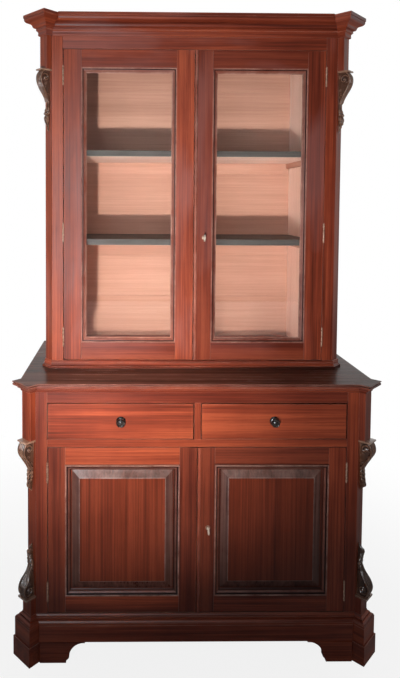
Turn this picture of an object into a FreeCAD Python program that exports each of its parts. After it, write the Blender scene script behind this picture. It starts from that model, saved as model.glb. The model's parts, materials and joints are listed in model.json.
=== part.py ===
# A two-part mahogany cabinet: a glazed bookcase with two doors, set back on a deeper cupboard with two drawers
# and two panelled doors. The front corners of both cases are cut at 45 degrees and carry blocks and carved
# corbels. Millimetres. X runs to the right, Y to the back and Z up; the origin is on the floor at the middle
# of the overall box.
import FreeCAD
import Part
import Sketcher
import os
import re

Vector = FreeCAD.Vector
doc = FreeCAD.newDocument("GlazedCabinet")

# Driving dimensions
SIZES = {
    # plan of the two cases: half of the flat front, the corner cut, and how far a corner block stands off it
    "lowerFrontHalf": 540, "lowerCant": 46, "lowerBreak": 22, "lowerDepth": 580,
    "upperFrontHalf": 507, "upperCant": 38, "upperBreak": 23, "upperSetback": 172,
    # heights from the floor up, without the mouldings, which are added up from their members
    "footHeight": 68, "plinthHeight": 57, "cupboardOpening": 570, "drawerRailHeight": 26,
    "drawerOpening": 123, "topRailHeight": 56, "counterThickness": 14, "bookcaseOpening": 1112,
    "friezeHeight": 43,
    # boards
    "frameThickness": 24, "sideThickness": 20, "backThickness": 9, "topThickness": 18, "shelfThickness": 22,
    "lowerStileWidth": 38, "upperStileWidth": 39, "muntinWidth": 22, "postDepth": 60, "counterOverhang": 24,
    # plinth and bracket feet
    "plinthOverhang": 19, "plinthThickness": 27, "footOverhang": 23, "footThickness": 20, "footBevel": 3,
    "footWing": 166, "footHollow": 53, "footToe": 10, "footNeckHeight": 24, "footToeHeight": 7, "heelWidth": 60,
    # corner blocks and corbels
    "lowerBlockHeight": 181, "baseBlockHeight": 54, "upperBlockHeight": 116,
    "corbelCap": 7, "corbelCapReach": 40, "corbelLip": 7, "corbelBulge": 44, "corbelWaist": 25,
    "corbelNeck": 6, "corbelLeaf": 13, "corbelTip": 3, "corbelSideGap": 3, "corbelScroll": 56,
    "corbelTaper": 56, "upperCorbelTail": 79, "lowerCorbelTail": 61,
    # shelves and what carries them
    "liningLap": 19, "liningThickness": 16, "stopGap": 1.5, "shelfRoom": 6, "lowerShelfRise": 414,
    "upperShelfRise": 737, "bearerWidth": 12, "bearerHeight": 20, "cupboardShelfRise": 290,
    "cupboardShelfSetback": 90,
    # drawers and what they run on
    "drawerGap": 1.5, "runGap": 0.3, "drawerFrontThickness": 20, "drawerSideThickness": 11,
    "drawerHeadroom": 7, "drawerRearGap": 35, "drawerBottomThickness": 7, "drawerBottomRise": 10,
    "runnerThickness": 20, "runnerLap": 26, "guideHeight": 40,
    # turned knobs
    "knobRoseRadius": 16, "knobRoseEdge": 2, "knobRoseThickness": 4, "knobNeckRadius": 6.5,
    "knobNeckLength": 7, "knobHeadRadius": 15, "knobHeadThickness": 12, "knobDishRadius": 11,
    "knobDishDepth": 2, "knobBossRadius": 6, "knobBossHeight": 2.5, "knobTipRadius": 3.5, "spigotRadius": 5,
    "spigotRest": 6, "spigotClearance": 0.05,
    # doors
    "doorGap": 2, "upperMember": 63, "lowerMember": 58, "glassThickness": 3, "infillGap": 0.5,
    "panelEdgeThickness": 6, "panelRise": 9, "panelBevel": 26, "panelMargin": 1, "sightThickness": 3,
    "glazingProud": 2, "panelProud": 5, "retainerWidth": 9, "meetingBeadWidth": 11, "meetingBeadProud": 4,
    # butt hinges
    "hingeHeight": 64, "leafGap": 0.2, "leafDepth": 19, "knuckleRadius": 3, "knuckleGap": 0.25,
    "knuckleRoom": 0.3, "pinRadius": 1.3, "pinClearance": 0.05, "pinHeadRadius": 2.4, "pinHeadHeight": 2.5,
    "upperHingeDrop": 94, "upperHingeMiddle": 463, "upperHingeRise": 86, "lowerHingeDrop": 86,
    "lowerHingeRise": 76,
    # locks, keys and bolts
    "keyInset": 37, "upperKeyRise": 445, "lowerKeyRise": 294, "lockInset": 1, "lockWall": 2,
    "chamberRadius": 9.5, "chamberRoom": 1, "boltHeight": 7.4, "boltThickness": 5.4, "boltClearance": 0.3,
    "escutcheonRadius": 8, "escutcheonThickness": 1.5, "keyShankRadius": 2.6, "keyholeClearance": 0.4,
    "keyReach": 9, "bitRoom": 1.5, "keyBitWidth": 2.4, "keyStem": 12, "keyBowRadius": 9.5,
    "keyBowWire": 2, "keyCollarRadius": 4.2, "keyCollarLength": 3, "keyCollarGap": 2,
    "stapleInset": 3, "stapleWidth": 16, "stapleWall": 3, "stapleRoom": 1.5,
    "doorBoltInset": 30, "doorBoltSize": 7, "doorBoltLength": 64, "doorBoltWall": 3, "doorBoltGuide": 30,
    "doorBoltGuideRise": 8, "doorBoltSocket": 14, "doorBoltLift": 1, "doorBoltKnobRadius": 4,
    "doorBoltKnobLength": 7,
}

# Mouldings as lists of members: name, shape, how far the member steps out and how far it rises or drops
MOULDINGS = {
    "cornice": (
        ("Foot", "flat", 2.5, 0), ("Bead", "round", 2, 7), ("Quirk", "flat", 0.5, 2), ("Cove", "cove", 5, 10),
        ("Fillet", "flat", 0, 8), ("Quarter", "round", 9, 8), ("Band", "flat", 3, 6), ("Step", "flat", 6, 3),
        ("Crown", "round", 12, 18), ("Drip", "flat", 2, 0), ("Fascia", "flat", 0, 11)),
    "counterMould": (
        ("Foot", "flat", 2, 0), ("Cove", "cove", 7, 8), ("Quirk", "flat", 2.5, 1), ("Fillet", "flat", 0, 6),
        ("Lip", "round", 3, 5)),
    "baseMould": (
        ("Top", "flat", 1, 0), ("Bead", "round", 2.5, 6), ("Quirk", "flat", 1, 2), ("Cove", "cove", 5, 11),
        ("Shoe", "flat", 1.5, 1), ("Fillet", "flat", 0, 7)),
    "plinthMould": (
        ("Top", "flat", 1, 0), ("Cove", "cove", 7, 9), ("Fillet", "flat", 0, 6), ("Quarter", "round", 10, 8),
        ("Quirk", "flat", 1, 0), ("Shoe", "flat", 0, 8)),
    "glazingMould": (
        ("Bead", "round", 4, 1), ("Quirk", "flat", 0, 2.5), ("Quarter", "round", 11, 7),
        ("Sight", "flat", 3, 0.5)),
    "panelMould": (
        ("Bead", "round", 5, 1), ("Quirk", "flat", 0, 3), ("Quarter", "round", 12, 8), ("Sight", "flat", 3, 1)),
}
for moulding, members in MOULDINGS.items():
    for member, shape, out, rise in members:
        for measure, size in (("Out", out), ("Rise", rise)):
            if size:
                SIZES[moulding + member + measure] = size


def total(moulding, measure):
    aliases = [moulding + member[0] + measure for member in MOULDINGS[moulding]]
    return " + ".join(alias for alias in aliases if alias in SIZES)


# Places worked out from the driving dimensions
PLACES = {
    "lowerSideX": "lowerFrontHalf + lowerCant / sqrt(2)",
    "upperSideX": "upperFrontHalf + upperCant / sqrt(2)",
    "cupboardWallX": "lowerSideX - sideThickness",
    "bookcaseWallX": "upperSideX - sideThickness",
    "lowerOpenX": "lowerFrontHalf - lowerStileWidth",
    "upperOpenX": "upperFrontHalf - upperStileWidth",
    "liningX": "upperOpenX - liningLap",
    "frontY": "(lowerBreak / sqrt(2) + counterOverhang * sqrt(2) - lowerDepth) / 2",
    "backY": "frontY + lowerDepth",
    "backFaceY": "backY - backThickness",
    "upperY": "frontY + upperSetback",
    "plinthTop": "footHeight + plinthHeight",
    "floorZ": "plinthTop + " + total("plinthMould", "Rise"),
    "drawerRailZ": "floorZ + cupboardOpening",
    "drawerFloorZ": "drawerRailZ + drawerRailHeight",
    "topRailZ": "drawerFloorZ + drawerOpening",
    "counterZ": "topRailZ + topRailHeight",
    "counterMouldZ": "counterZ - (" + total("counterMould", "Rise") + ")",
    "counterTopZ": "counterZ + counterThickness",
    "bookcaseFloorZ": "counterTopZ + " + total("baseMould", "Rise"),
    "friezeZ": "bookcaseFloorZ + bookcaseOpening",
    "corniceZ": "friezeZ + friezeHeight",
    "topZ": "corniceZ + " + total("cornice", "Rise"),
    "lidZ": "topZ - topThickness",
    "meetX": "doorGap / 2",
    "leafThickness": "(doorGap - leafGap) / 2",
    "hingeStandOff": "knuckleRadius + knuckleRoom",
    "plinthInner": "plinthOverhang - plinthThickness",
    "footInner": "footOverhang - footThickness",
    "glazingSeat": total("glazingMould", "Rise") + " - glazingProud + sightThickness",
    "panelSeat": total("panelMould", "Rise") + " - panelProud + sightThickness",
    "keyholeRadius": "keyShankRadius + keyholeClearance",
    "lockX": "meetX + lockInset",
    "chamberDepth": "keyReach + chamberRoom",
    "lockDepth": "chamberDepth + lockWall",
    "boltRise": "chamberRadius + lockWall + boltClearance + boltHeight / 2",
    "boltMiddle": "frameThickness + lockDepth / 2",
    "doorBoltMiddle": "frameThickness + doorBoltWall + boltClearance + doorBoltSize / 2",
}

sheet = doc.addObject("Spreadsheet::Sheet", "Sizes")
for row, (alias, size) in enumerate(SIZES.items(), start=1):
    sheet.set(f"A{row}", alias)
    sheet.set(f"B{row}", str(size))
    sheet.setAlias(f"B{row}", alias)
doc.recompute()

NODES = {}
# An arc's bulge is its rise over half its chord; this one makes a quarter circle
QUARTER_BULGE = 2 ** 0.5 - 1
CORBEL_BULGES = {"swell": 0.25, "curl": 0.3, "taper": -0.25, "leaf": 0.2, "tip": 0.3}
KNOB_BULGES = {"neck": -0.2, "head": 0.4}
BEAD_BULGE = 0.35
SMALLEST_EDGE = 1e-6
# how far a mitre's cutting wedge runs past the section on each side
WEDGE_SPARE = 1
CUPBOARD_BACK_BOARDS = 5
BOOKCASE_BACK_BOARDS = 7


# Helpers that tie document objects to the sheet
def formula(text):
    # turns the names of sizes and places into references to the sheet
    def swap(match):
        word = match.group()
        if word in SIZES:
            return "Sizes." + word
        if word in PLACES:
            return "(" + formula(PLACES[word]) + ")"
        return word

    return re.sub(r"[A-Za-z]\w*", swap, str(text))


def value(text):
    return float(sheet.evalExpression(formula(text)))


def bind(thing, settings):
    for name, text in settings.items():
        thing.setExpression(name, formula(text))
    return thing


def place(thing, x, y, z):
    return bind(thing, {"Placement.Base.x": x, "Placement.Base.y": y, "Placement.Base.z": z})


def turn(thing, axis, degrees):
    thing.Placement = FreeCAD.Placement(Vector(0, 0, 0), FreeCAD.Rotation(Vector(*axis), degrees))
    return thing


def node(label, *pieces):
    # one sub-part: a single piece, or a group of separate pieces
    thing = pieces[0]
    if len(pieces) > 1:
        thing = doc.addObject("Part::Compound", label)
        thing.Links = list(pieces)
    thing.Label = label
    NODES[label] = thing
    return thing


def board(name, x, y, z):
    # a box between two places along each axis
    box = doc.addObject("Part::Box", name)
    place(box, x[0], y[0], z[0])
    lengths = {"Length": x, "Width": y, "Height": z}
    return bind(box, {side: f"{ends[1]} - ({ends[0]})" for side, ends in lengths.items()})


def rod(name, radius, x, y, z):
    # a cylinder along Y or Z, whichever is given as two places
    cylinder = doc.addObject("Part::Cylinder", name)
    if isinstance(y, tuple):
        turn(cylinder, (1, 0, 0), -90)
        place(cylinder, x, y[0], z)
        return bind(cylinder, {"Radius": radius, "Height": f"{y[1]} - ({y[0]})"})
    place(cylinder, x, y, z[0])
    return bind(cylinder, {"Radius": radius, "Height": f"{z[1]} - ({z[0]})"})


def cut(name, base, *tools):
    for number, tool in enumerate(tools):
        result = doc.addObject("Part::Cut", f"{name}_cut{number}")
        result.Base = base
        result.Tool = tool
        base = result
    return base


def fuse(name, *pieces):
    result = doc.addObject("Part::MultiFuse", name)
    result.Shapes = list(pieces)
    return result


def mirror(piece):
    other = doc.addObject("Part::Mirroring", piece.Name + "_left")
    other.Source = piece
    other.Normal = Vector(1, 0, 0)
    return other


def pair(piece):
    return piece, mirror(piece)


def feature(name, solids):
    thing = doc.addObject("Part::Feature", name)
    thing.Shape = Part.makeCompound(solids)
    return thing


def bulged(start, end, bulge):
    # the middle point of an arc, to the right of its chord
    along = end - start
    return (start + end) * 0.5 + Vector(along.y, -along.x, 0) * (bulge / 2)


def drawOutline(sketch, points):
    # closed outline whose corners are bound to the sheet; a third value makes the run to that corner an arc
    corners = [Vector(value(point[0]), value(point[1]), 0) for point in points]
    count = len(points)
    starts = []
    ends = []
    for number, start in enumerate(corners):
        following = (number + 1) % count
        end = corners[following]
        if len(points[following]) > 2:
            sketch.addGeometry(Part.Arc(start, bulged(start, end, points[following][2]), end))
        else:
            sketch.addGeometry(Part.LineSegment(start, end))
        forward = sketch.getPoint(number, 1).distanceToPoint(start) < SMALLEST_EDGE
        starts.append(1 if forward else 2)
        ends.append(2 if forward else 1)
    for number, point in enumerate(points):
        before = (number - 1) % count
        sketch.addConstraint(Sketcher.Constraint("Coincident", before, ends[before], number, starts[number]))
        bindCorner(sketch, number, starts[number], point, corners[number])
        if len(point) > 2:
            last = points[before]
            chord = f"sqrt(({point[0]} - ({last[0]}))^2 + ({point[1]} - ({last[1]}))^2)"
            share = (1 + point[2] ** 2) / (4 * abs(point[2]))
            radius = (corners[number] - corners[before]).Length * share
            index = sketch.addConstraint(Sketcher.Constraint("Radius", before, radius))
            sketch.setExpression(f"Constraints[{index}]", formula(f"{chord} * {share}"))


def bindCorner(sketch, edge, end, point, corner):
    # a corner on an axis is put on it, and any other is held at its distance
    held = (("DistanceX", -2, point[0], corner.x), ("DistanceY", -1, point[1], corner.y))
    for kind, axis, text, distance in held:
        if text == "0":
            sketch.addConstraint(Sketcher.Constraint("PointOnObject", edge, end, axis))
        else:
            index = sketch.addConstraint(Sketcher.Constraint(kind, -1, 1, edge, end, distance))
            sketch.setExpression(f"Constraints[{index}]", formula(text))


def addSketch(body, name, role, height, points):
    sketch = body.newObject("Sketcher::SketchObject", name)
    planes = {plane.Role: plane for plane in body.Origin.OriginFeatures}
    sketch.AttachmentSupport = (planes[role], "")
    sketch.MapMode = "FlatFace"
    bind(sketch, {"AttachmentOffset.Base.z": height})
    drawOutline(sketch, points)
    return sketch


def prism(name, points, low, high, role="XY_Plane"):
    # an outline padded between two heights over its plane
    body = doc.addObject("PartDesign::Body", name)
    sketch = addSketch(body, name + "Outline", role, low, points)
    pad = body.newObject("PartDesign::Pad", name + "Pad")
    pad.Profile = sketch
    bind(pad, {"Length": f"{high} - ({low})"})
    return body


def rectangle(x, z, inset="0"):
    return [(f"{x[0]} + {inset}", f"{z[0]} + {inset}"), (f"{x[1]} - ({inset})", f"{z[0]} + {inset}"),
            (f"{x[1]} - ({inset})", f"{z[1]} - ({inset})"), (f"{x[0]} + {inset}", f"{z[1]} - ({inset})")]


# Plans of the two cases
LOWER = {"half": "lowerFrontHalf", "cant": "lowerCant", "front": "frontY", "step": "lowerBreak"}
UPPER = {"half": "upperFrontHalf", "cant": "upperCant", "front": "upperY", "step": "upperBreak"}


def cornerPoints(case, overhang="0", stepped=True):
    # the right-hand corner from the front to the side, with or without the corner block's step
    half, cant, front, step = case["half"], case["cant"], case["front"], case["step"]
    inner = f"{overhang} * (sqrt(2) - 1)"
    if not stepped:
        return [(f"{half} + {inner}", f"{front} - {overhang}"),
                (f"{half} + {cant} / sqrt(2) + {overhang}", f"{front} + {cant} / sqrt(2) - {inner}")]
    return [(f"{half} - {inner}", f"{front} - {overhang}"),
            (f"{half} + {step} / sqrt(2)", f"{front} - {step} / sqrt(2) - {overhang} * sqrt(2)"),
            (f"{half} + ({cant} + {step}) / sqrt(2) + {overhang} * sqrt(2)",
             f"{front} + ({cant} - {step}) / sqrt(2)"),
            (f"{half} + {cant} / sqrt(2) + {overhang}", f"{front} + {cant} / sqrt(2) + {inner}")]


def plan(case, overhang="0", stepped=True):
    right = cornerPoints(case, overhang, stepped)
    right.append((right[-1][0], "backY"))
    left = [(f"-({x})", y) for x, y in reversed(right)]
    return right + left


def runPath(case, stepped=True):
    # from the back on the left round the front to the back on the right: the outside is on the right hand
    points = plan(case, "0", stepped)
    half = len(points) // 2
    return [(value(x), value(y)) for x, y in points[half:] + points[:half]]


# Mitred mouldings and boards
def memberSize(moulding, member, measure):
    alias = moulding + member + measure
    return value(alias) if alias in SIZES else 0


def memberPoints(moulding, height, way):
    # corners of overhang, height and bulge from the wall outward, rising or dropping
    points = [(0, height, 0)]
    bulges = {"flat": 0, "round": QUARTER_BULGE, "cove": -QUARTER_BULGE}
    for member, shape, _, _ in MOULDINGS[moulding]:
        out, last, _ = points[-1]
        points.append((out + memberSize(moulding, member, "Out"),
                       last + memberSize(moulding, member, "Rise") * way, bulges[shape] * way))
    return points


def wallMoulding(moulding, height, way):
    points = memberPoints(moulding, value(height), way)
    return points + [(0, points[-1][1], 0)]


def bar(low, high, inner, outer, bevel=0):
    # rectangular section, with a bevel on its upper outer edge
    return [(inner, low, 0), (outer, low, 0), (outer, high - bevel, 0), (outer - bevel, high, 0),
            (inner, high, 0)]


def sectionFace(section, origin, outward):
    edges = []
    for number, (out, height, bulge) in enumerate(section):
        last = section[number - 1]
        spots = [Vector(last[0], last[1], 0), Vector(out, height, 0)]
        if spots[0].distanceToPoint(spots[1]) < SMALLEST_EDGE:
            continue
        if bulge:
            spots.insert(1, bulged(spots[0], spots[1], bulge))
        placed = [origin + outward * spot.x + Vector(0, 0, spot.y) for spot in spots]
        edges.append(Part.Arc(*placed).toShape() if bulge else Part.makeLine(*placed))
    return Part.Face(Part.Wire(edges))


def mitredLengths(path, section, closed=False):
    # straight lengths of a section along a path in the XY plane, mitred where they meet
    spots = [Vector(x, y, 0) for x, y in path]
    count = len(spots) if closed else len(spots) - 1
    ways = [(spots[(n + 1) % len(spots)] - spots[n]).normalize() for n in range(count)]
    sides = [Vector(way.y, -way.x, 0) for way in ways]
    outs = [point[0] for point in section]
    heights = [point[1] for point in section]
    inner, outer = min(outs) - WEDGE_SPARE, max(outs) + WEDGE_SPARE
    spare = 3 * (outer - inner)
    low = Vector(0, 0, min(heights) - WEDGE_SPARE)
    up = Vector(0, 0, max(heights) + WEDGE_SPARE) - low

    def mitre(before, after):
        return (sides[before] + sides[after]) * (1 / (1 + sides[before].dot(sides[after])))

    solids = []
    for n in range(count):
        start, end = spots[n], spots[(n + 1) % len(spots)]
        first = mitre(n - 1, n) if closed or n > 0 else sides[n]
        last = mitre(n, (n + 1) % count) if closed or n < count - 1 else sides[n]
        length = (end - start).Length + 2 * spare
        strip = sectionFace(section, start - ways[n] * spare, sides[n]).extrude(ways[n] * length)
        corners = [start + first * inner, start + first * outer, end + last * outer, end + last * inner]
        wedge = Part.Face(Part.makePolygon([spot + low for spot in corners + corners[:1]])).extrude(up)
        solids.append(strip.common(wedge).Solids[0])
    return solids


def bothSides(solids):
    return solids + [solid.mirror(Vector(0, 0, 0), Vector(1, 0, 0)) for solid in solids]


# Bracket feet and plinth
def wingSpace(tip, way, side):
    # the space under a foot's wing, from its tip inward: a hollow curve, a short neck and a toe
    def spot(along, height):
        return tip + way * along + Vector(0, 0, height)

    top, hollow, toe = value("footHeight"), value("footHollow"), value("footToe")
    neck, foot = value("footNeckHeight"), value("footToeHeight")
    depth = value("footOverhang")
    chord = Vector(hollow, neck - top, 0)
    middle = bulged(Vector(0, top, 0), Vector(0, top, 0) + chord, -QUARTER_BULGE)
    corners = [spot(0, top), spot(-depth, top), spot(-depth, -depth), spot(hollow + toe, -depth),
               spot(hollow + toe, foot), spot(hollow, foot + toe), spot(hollow, neck)]
    edges = [Part.makeLine(start, end) for start, end in zip(corners, corners[1:])]
    edges.append(Part.Arc(corners[-1], spot(middle.x, middle.y), corners[0]).toShape())
    face = Part.Face(Part.Wire(edges))
    face.translate(side * -depth)
    return face.extrude(side * (3 * depth))


def footSection():
    return bar(0, value("footHeight"), value("footInner"), value("footOverhang"), value("footBevel"))


def frontFoot():
    turns = [Vector(value(x), value(y), 0) for x, y in cornerPoints(LOWER)]
    front, right = Vector(0, -1, 0), Vector(1, 0, 0)
    inner = turns[0] - right * value("footWing")
    rear = turns[-1] - front * value("footWing")
    lengths = mitredLengths([(spot.x, spot.y) for spot in [inner] + turns + [rear]], footSection())
    lengths[0] = lengths[0].cut(wingSpace(inner, right, front)).Solids[0]
    lengths[-1] = lengths[-1].cut(wingSpace(rear, front, right)).Solids[0]
    return lengths


def backFoot():
    rear = Vector(value("lowerSideX"), value("backY"), 0)
    back, right = Vector(0, 1, 0), Vector(1, 0, 0)
    tip = rear - back * value("footWing")
    wing = mitredLengths([(tip.x, tip.y), (rear.x, rear.y)], footSection())[0]
    wing = wing.cut(wingSpace(tip, back, right)).Solids[0]
    width, depth = value("heelWidth"), value("footThickness")
    heelCorner = rear + right * (value("footInner") - width) - back * depth
    return [wing, Part.makeBox(width, depth, value("footHeight"), heelCorner)]


node("bracket_feet", feature("bracket_feet", bothSides(frontFoot() + backFoot())))
plinthSection = bar(value("footHeight"), value("plinthTop"), value("plinthInner"), value("plinthOverhang"))
node("plinth_boards",
     feature("plinth_run", mitredLengths(runPath(LOWER), plinthSection)),
     board("plinth_back", ("-lowerSideX - plinthInner", "lowerSideX + plinthInner"),
           ("backY - sideThickness", "backY"), ("footHeight", "plinthTop")))
node("plinth_moulding",
     feature("plinth_moulding", mitredLengths(runPath(LOWER), wallMoulding("plinthMould", "floorZ", -1))))


# Cupboard and bookcase carcasses
def floorBoard(name, case, low, high):
    # a board under a case, with a socket for the bolt of the left door
    half = "(doorBoltSize / 2 + boltClearance)"
    middle = f"{case['front']} + doorBoltMiddle"
    socket = board(name + "_socket", (f"-doorBoltInset - {half}", f"-doorBoltInset + {half}"),
                   (f"{middle} - {half}", f"{middle} + {half}"), (f"{high} - doorBoltSocket", high))
    return cut(name, prism(name + "_board", plan(case, "0", False), low, high), socket)


def cornerPost(name, case, low, high):
    first, last = cornerPoints(case, "0", False)
    rear = f"{case['front']} + postDepth"
    return prism(name, [first, last, (last[0], rear), (first[0], rear)], low, high)


def backBoards(name, half, low, high, count):
    step = f"({high} - ({low})) / {count}"
    return [board(f"{name}{number}", (f"-{half}", half), ("backFaceY", "backY"),
                  (f"{low} + {number} * {step}", f"{low} + {number + 1} * {step}")) for number in range(count)]


def cornerBlock(name, case, low, high):
    # a block as wide as the corner cut, standing off it
    block = doc.addObject("Part::Box", name)
    turn(block, (0, 0, 1), 45)
    place(block, *cornerPoints(case)[1], low)
    return bind(block, {"Length": case["cant"], "Width": case["step"], "Height": f"{high} - ({low})"})


lowerFace = ("frontY", "frontY + frameThickness")
lowerSpan = ("-lowerOpenX", "lowerOpenX")
node("cupboard_floor", floorBoard("cupboard_floor", LOWER, "plinthTop", "floorZ"))
node("cupboard_sides",
     *pair(board("cupboard_side", ("cupboardWallX", "lowerSideX"), ("frontY + postDepth", "backY"),
                 ("floorZ", "counterZ"))))
node("cupboard_frame",
     *pair(cornerPost("cupboard_post", LOWER, "floorZ", "counterZ")),
     *pair(board("cupboard_stile", ("lowerOpenX", "lowerFrontHalf"), lowerFace, ("floorZ", "counterZ"))),
     board("rail_over_drawers", lowerSpan, lowerFace, ("topRailZ", "counterZ")),
     board("rail_under_drawers", lowerSpan, ("frontY", "frontY + postDepth"), ("drawerRailZ", "drawerFloorZ")),
     board("drawer_muntin", ("-muntinWidth / 2", "muntinWidth / 2"), lowerFace, ("drawerFloorZ", "topRailZ")))
node("cupboard_back_boards",
     *backBoards("cupboard_back", "cupboardWallX", "floorZ", "counterZ", CUPBOARD_BACK_BOARDS))
node("lower_blocks",
     *pair(cornerBlock("drawer_block", LOWER, "counterZ - lowerBlockHeight", "counterZ")),
     *pair(cornerBlock("base_block", LOWER, "plinthTop", "floorZ + baseBlockHeight")))
node("counter_top", prism("counter_top", plan(LOWER, "counterOverhang"), "counterZ", "counterTopZ"))
counterSection = wallMoulding("counterMould", "counterMouldZ", 1)
node("counter_moulding", feature("counter_moulding", mitredLengths(runPath(LOWER), counterSection)))

upperFace = ("upperY", "upperY + frameThickness")
bookcaseHeight = ("bookcaseFloorZ", "lidZ")
node("bookcase_floor", floorBoard("bookcase_floor", UPPER, "counterTopZ", "bookcaseFloorZ"))
baseSection = wallMoulding("baseMould", "bookcaseFloorZ", -1)
node("base_moulding", feature("base_moulding", mitredLengths(runPath(UPPER, False), baseSection)))
node("bookcase_sides",
     *pair(board("bookcase_side", ("bookcaseWallX", "upperSideX"), ("upperY + postDepth", "backY"),
                 bookcaseHeight)))
node("bookcase_frame",
     *pair(cornerPost("bookcase_post", UPPER, *bookcaseHeight)),
     *pair(board("bookcase_stile", ("upperOpenX", "upperFrontHalf"), upperFace, bookcaseHeight)),
     board("frieze_rail", ("-upperOpenX", "upperOpenX"), upperFace, ("friezeZ", "lidZ")))
node("bookcase_linings",
     *pair(board("bookcase_lining", ("liningX", "liningX + liningThickness"),
                 ("upperY + frameThickness + stopGap", "backFaceY"), bookcaseHeight)))
node("bookcase_back_boards",
     *backBoards("bookcase_back", "bookcaseWallX", *bookcaseHeight, BOOKCASE_BACK_BOARDS))
node("bookcase_top", prism("bookcase_top", plan(UPPER, "0", False), "lidZ", "topZ"))
node("upper_blocks", *pair(cornerBlock("frieze_block", UPPER, "corniceZ - upperBlockHeight", "topZ")))
node("cornice_moulding",
     feature("cornice_moulding", mitredLengths(runPath(UPPER), wallMoulding("cornice", "corniceZ", 1))))


# Shelves on bearers
def bearer(name, wall, front, top):
    return board(name, (f"{wall} - bearerWidth", wall), (f"{front} + bearerWidth", "backFaceY"),
                 (f"{top} - bearerHeight", top))


shelves = []
bearers = []
shelfFront = "upperY + frameThickness + lockDepth + shelfRoom"
for name, rise in (("lower_shelf", "lowerShelfRise"), ("upper_shelf", "upperShelfRise")):
    under = f"bookcaseFloorZ + {rise}"
    shelves.append(board(name, ("-liningX", "liningX"), (shelfFront, "backFaceY"),
                         (under, f"{under} + shelfThickness")))
    bearers += pair(bearer(name + "_bearer", "liningX", shelfFront, under))
node("bookcase_shelves", *shelves)
shelfFront = "frontY + cupboardShelfSetback"
under = "floorZ + cupboardShelfRise"
node("cupboard_shelf", board("cupboard_shelf", ("-cupboardWallX", "cupboardWallX"), (shelfFront, "backFaceY"),
                             (under, f"{under} + shelfThickness")))
bearers += pair(bearer("cupboard_bearer", "cupboardWallX", shelfFront, under))
node("shelf_bearers", *bearers)


# Carved corbels on the corner cuts
def corbel(name, case, tail, z, upward):
    # side outline of reach and drop from the cap: a cap, a swelling scroll, a taper and a leaf
    scroll = "corbelCap + corbelScroll"
    taper = f"{scroll} + corbelTaper"
    sign, bend = ("", 1) if upward else ("-", -1)
    steps = [("corbelCapReach", "corbelCap"), ("corbelCapReach - corbelLip", "corbelCap"),
             ("corbelBulge", "corbelCap + corbelScroll / 2", "swell"), ("corbelWaist", scroll, "curl"),
             ("corbelNeck", taper, "taper"), ("corbelLeaf", f"{taper} + {tail} / 2", "leaf"),
             ("corbelTip", f"{taper} + {tail}", "tip"), ("0", f"{taper} + {tail}")]
    points = [("0", "0"), ("corbelCapReach", "0")]
    for reach, drop, *arc in steps:
        points.append((reach, f"{sign}({drop})", *(CORBEL_BULGES[curve] * bend for curve in arc)))
    half = f"({case['cant']} / 2 - corbelSideGap)"
    body = turn(prism(name, points, f"-{half}", half, "XZ_Plane"), (0, 0, 1), -45)
    middle = f"{case['cant']} / 2 / sqrt(2)"
    return place(body, f"{case['half']} + {middle}", f"{case['front']} + {middle}", z)


node("lower_corbels",
     *pair(corbel("drawer_corbel", LOWER, "lowerCorbelTail", "counterZ - lowerBlockHeight", False)),
     *pair(corbel("base_corbel", LOWER, "lowerCorbelTail", "floorZ + baseBlockHeight", True)))
node("upper_corbels",
     *pair(corbel("frieze_corbel", UPPER, "upperCorbelTail", "corniceZ - upperBlockHeight", False)))


# Drawers, which run between a guide and the divider
def knob(name, x, y, z):
    # turned about its own axis: spigot, rose, neck and a dished head with a boss
    head = "knobNeckLength + knobRoseThickness"
    face = f"{head} + knobHeadThickness"
    spigot = "-(drawerFrontThickness - spigotRest)"
    dish = f"{face} - knobDishDepth"
    tip = f"{dish} + knobBossHeight"
    points = [("0", spigot), ("spigotRadius", spigot), ("spigotRadius", "0"), ("knobRoseRadius", "0"),
              ("knobRoseRadius", "knobRoseEdge"), ("knobNeckRadius", "knobRoseThickness"),
              ("knobNeckRadius", head, KNOB_BULGES["neck"]),
              ("knobHeadRadius", f"{head} + knobHeadThickness / 2", KNOB_BULGES["head"]),
              ("knobDishRadius", face, KNOB_BULGES["head"]), ("knobBossRadius", dish),
              ("knobTipRadius", tip), ("0", tip)]
    body = doc.addObject("PartDesign::Body", name)
    sketch = addSketch(body, name + "Outline", "XZ_Plane", "0", points)
    turned = body.newObject("PartDesign::Revolution", name + "Turned")
    turned.Profile = sketch
    turned.ReferenceAxis = (sketch, ["V_Axis"])
    turned.Angle = 360
    turn(body, (1, 0, 0), 90)
    return place(body, x, y, z)


sideX = ("lowerOpenX - runnerLap", "cupboardWallX")
centreX = ("-muntinWidth / 2 - runnerLap", "muntinWidth / 2 + runnerLap")
behindPosts = ("frontY + postDepth", "backFaceY")
behindFrame = ("frontY + frameThickness", "backFaceY")
runnerZ = ("drawerFloorZ - runnerThickness", "drawerFloorZ")
kickerZ = ("topRailZ", "topRailZ + runnerThickness")
node("drawer_runners",
     *pair(board("side_runner", sideX, behindPosts, runnerZ)),
     board("centre_runner", centreX, behindPosts, runnerZ),
     *pair(board("side_guide", ("lowerOpenX", "cupboardWallX"), behindPosts,
                 ("drawerFloorZ", "drawerFloorZ + guideHeight"))),
     board("centre_divider", ("-muntinWidth / 2", "muntinWidth / 2"), behindFrame,
           ("drawerFloorZ", "topRailZ")),
     *pair(board("side_kicker", sideX, behindPosts, kickerZ)),
     board("centre_kicker", centreX, behindFrame, kickerZ))

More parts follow.
